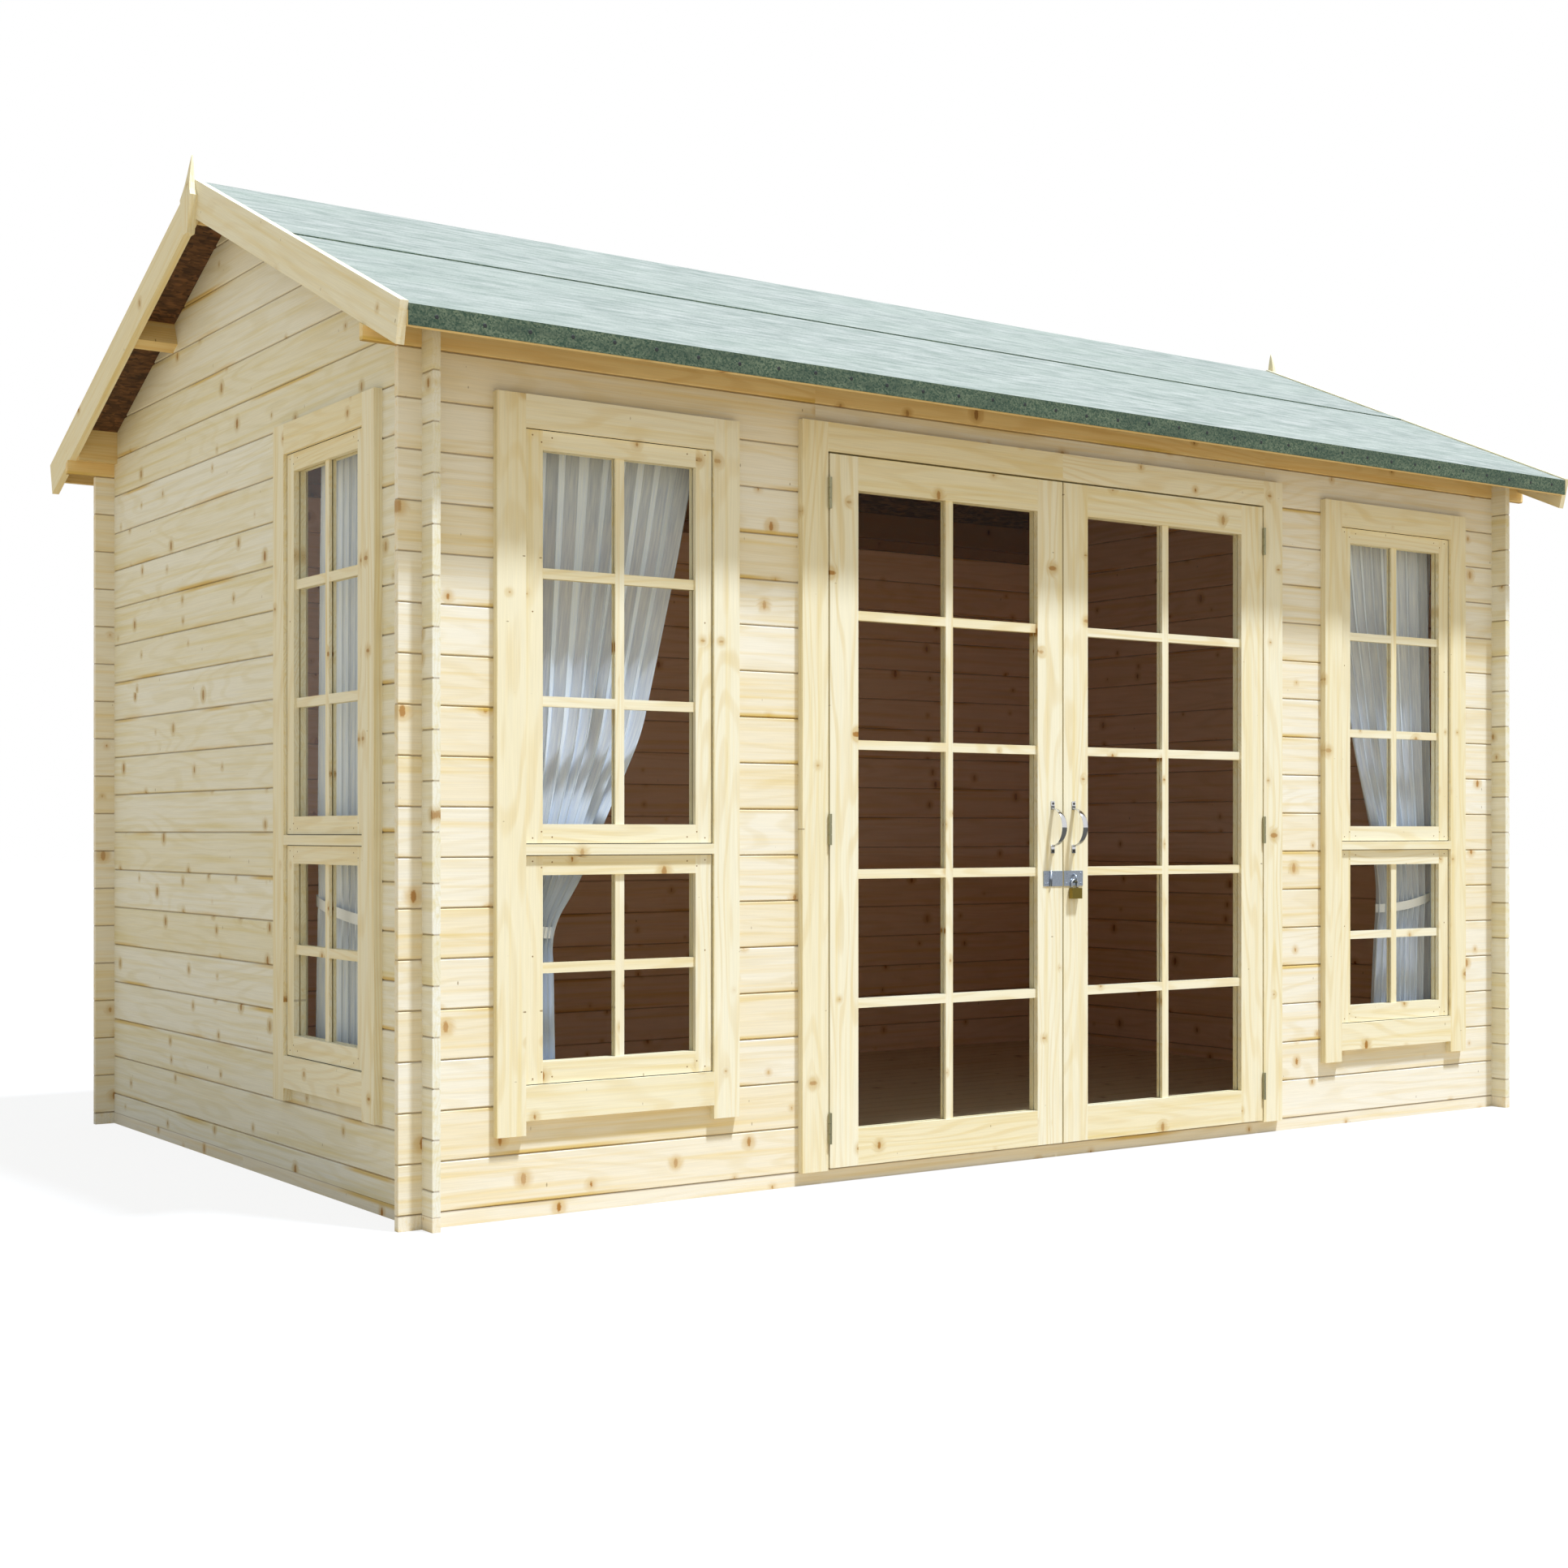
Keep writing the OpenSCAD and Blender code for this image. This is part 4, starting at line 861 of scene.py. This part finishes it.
def curtain_form(hang):
    """A sheet gathered at the rod, drawn to negative X by its tie, and hanging free
    below it. X runs along the wall from the middle of the window, Y inwards."""
    form = bmesh.new()
    uv = form.loops.layers.uv.new("cloth")
    bmesh.ops.create_grid(form, x_segments=180, y_segments=96, size=0.5)
    flat = {}
    rows = {}
    for vert in form.verts:
        u, v = vert.co.x + 0.5, 0.5 - vert.co.y
        z = TOP_Z - v * (TOP_Z - FOOT_Z)
        key = round(v, 4)
        if key not in rows:
            width = drawn_width(hang, z)
            rows[key] = (width, fold_depth(width))
        width, swing = rows[key]
        flat[vert] = (u * CURTAIN_W, v * CURTAIN_L)
        wave = u + 0.016 * math.sin(9 * u + 2.0 * v) + 0.006 * math.sin(23 * u)
        pinch = math.exp(-((z - TIE_Z) / 0.05) ** 2)
        lean = 0.5 * math.sin(3.1 * v + 5 * u) * (1 - pinch)
        phase = 2 * math.pi * FOLDS * wave + lean
        strength = 1 - 0.25 * (0.5 + 0.5 * math.sin(17 * u + 1.3)) * (1 - pinch)
        x = -REACH + width * u + SWAY * width / FOLDS * math.sin(2 * phase) * (1 - pinch)
        y = MIDDLE_Y + swing * strength * math.sin(phase)
        vert.co = (x, y, z + 0.004 * math.sin(phase) * v)
    for face in form.faces:
        for loop in face.loops:
            loop[uv].uv = flat[loop.vert]
    return form


def tie_form(hang, hook, rise):
    """The band round the gathered cloth. It runs on past the cloth by hook, and rises
    towards negative X, or towards positive X with rise below zero."""
    form = bmesh.new()
    half = (drawn_width(hang, TIE_Z) + hook) / 2 + 0.006
    middle = half - 0.012 - REACH
    bmesh.ops.create_cone(form, cap_ends=False, segments=40, radius1=1.0, radius2=1.0, depth=1.0)
    for vert in form.verts:
        x = middle + half * vert.co.x
        y = MIDDLE_Y + BAND_DEEP * vert.co.y
        z = TIE_Z + BAND_H * vert.co.z - rise * vert.co.x + 0.010 * vert.co.x * vert.co.x
        vert.co = (x, y, z)
    return form


def curtain_place(x, y, z, turn, hand):
    """Where a curtain hangs, from the middle of its window, turned by degrees round Z.
    With a hand of -1 it's drawn to the other side."""
    place = Matrix.Translation((x, y, z)) @ Matrix.Rotation(math.radians(turn), 4, "Z")
    return place @ Matrix.Diagonal((hand, 1, 1, 1))


SIDE_WALL_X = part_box("side_curtain")[0][0] - 0.045    # outer log face beside that curtain
left_place = curtain_place(-WINDOW_X, FRONT, WINDOW_Z, 0, 1)
right_place = curtain_place(WINDOW_X, FRONT, WINDOW_Z, 0, -1)
side_place = curtain_place(SIDE_WALL_X, SIDE_WINDOW_Y, WINDOW_Z + SIDE_WINDOW_UP, -90, -1)

for name, place, hang, hook, rise in (("left", left_place, TIGHT, 0.0, 0.018),
                                      ("right", right_place, LOOSE, 0.0, 0.020),
                                      ("side", side_place, STRAIGHT, 0.030, -0.024)):
    form = tie_form(hang, hook, rise)
    bmesh.ops.transform(form, matrix=place, verts=form.verts)
    band = piece(name + "_curtain_tie", form, tie_cotton, "cabin", smooth=True)
    form = curtain_form(hang)
    bmesh.ops.transform(form, matrix=place, verts=form.verts)
    bmesh.ops.recalc_face_normals(form, faces=form.faces)
    sheet = piece(name + "_voile", form, cloth, "cabin", smooth=True)
    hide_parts(name + "_curtain")


# ---------- stage, light and camera ----------

made, tree, output = material("studio_floor_paint")
path = add(tree, "LightPath").outputs
white = add(tree, "Emission", Color=(1, 1, 1, 1), Strength=1.0)
mirrored = add(tree, "BsdfDiffuse", Color=colour("#5A5750"))
plain = add(tree, "BsdfDiffuse", Color=colour("#C6B18F"))
shown = add(tree, "BsdfDiffuse", Color=colour("#F4F4F2"))
shown = add(tree, "MixShader", 0.86, shown, white)
plain = add(tree, "MixShader", path["Is Glossy Ray"], plain, mirrored)
finish_with(tree, output, add(tree, "MixShader", path["Is Camera Ray"], plain, shown))
form = bmesh.new()
# Just under the base, so that the two faces are never at the same place
bmesh.ops.create_grid(form, x_segments=1, y_segments=1, size=60,
                      matrix=Matrix.Translation((0, 0, -0.0005)))
studio_floor = mesh_object("studio_floor", form, made)

world = bpy.data.worlds.new("studio")
world.use_nodes = True
tree = world.node_tree
tree.nodes.clear()
path = add(tree, "LightPath").outputs
seen = add(tree, "Math", path["Is Camera Ray"], path["Is Glossy Ray"], operation="MAXIMUM")
seen = add(tree, "Math", seen, path["Is Transmission Ray"], operation="MAXIMUM")
soft = add(tree, "Background", colour("#E7F0F6"), 0.65)
backdrop = add(tree, "Background", (1, 1, 1, 1), 1.0)
tree.links.new(add(tree, "MixShader", seen, soft, backdrop).outputs[0],
               tree.nodes.new("ShaderNodeOutputWorld").inputs["Surface"])
bpy.context.scene.world = world

sun_data = bpy.data.lights.new("studio_sun", "SUN")
sun_data.energy = 4.95
sun_data.angle = math.radians(4.5)
sun_data.color = colour("#E2EDFF")[:3]
sun = bpy.data.objects.new("studio_sun", sun_data)
sun.rotation_euler = Vector((-0.5, 1.0, -2.73)).to_track_quat("-Z", "Y").to_euler()
bpy.context.scene.collection.objects.link(sun)

camera_data = bpy.data.cameras.new("camera")
camera_data.lens = 50.6
camera_data.sensor_width = 36.0
camera_data.shift_x = -0.103
camera_data.shift_y = 0.031
camera_data.clip_end = 200
camera = bpy.data.objects.new("camera", camera_data)
camera.location = (-3.760, -5.579, 0.857)
camera.rotation_euler = Vector((0.6035, 0.7974, 0.0)).to_track_quat("-Z", "Y").to_euler()
bpy.context.scene.collection.objects.link(camera)
bpy.context.scene.camera = camera
bpy.context.scene.view_settings.view_transform = "Standard"
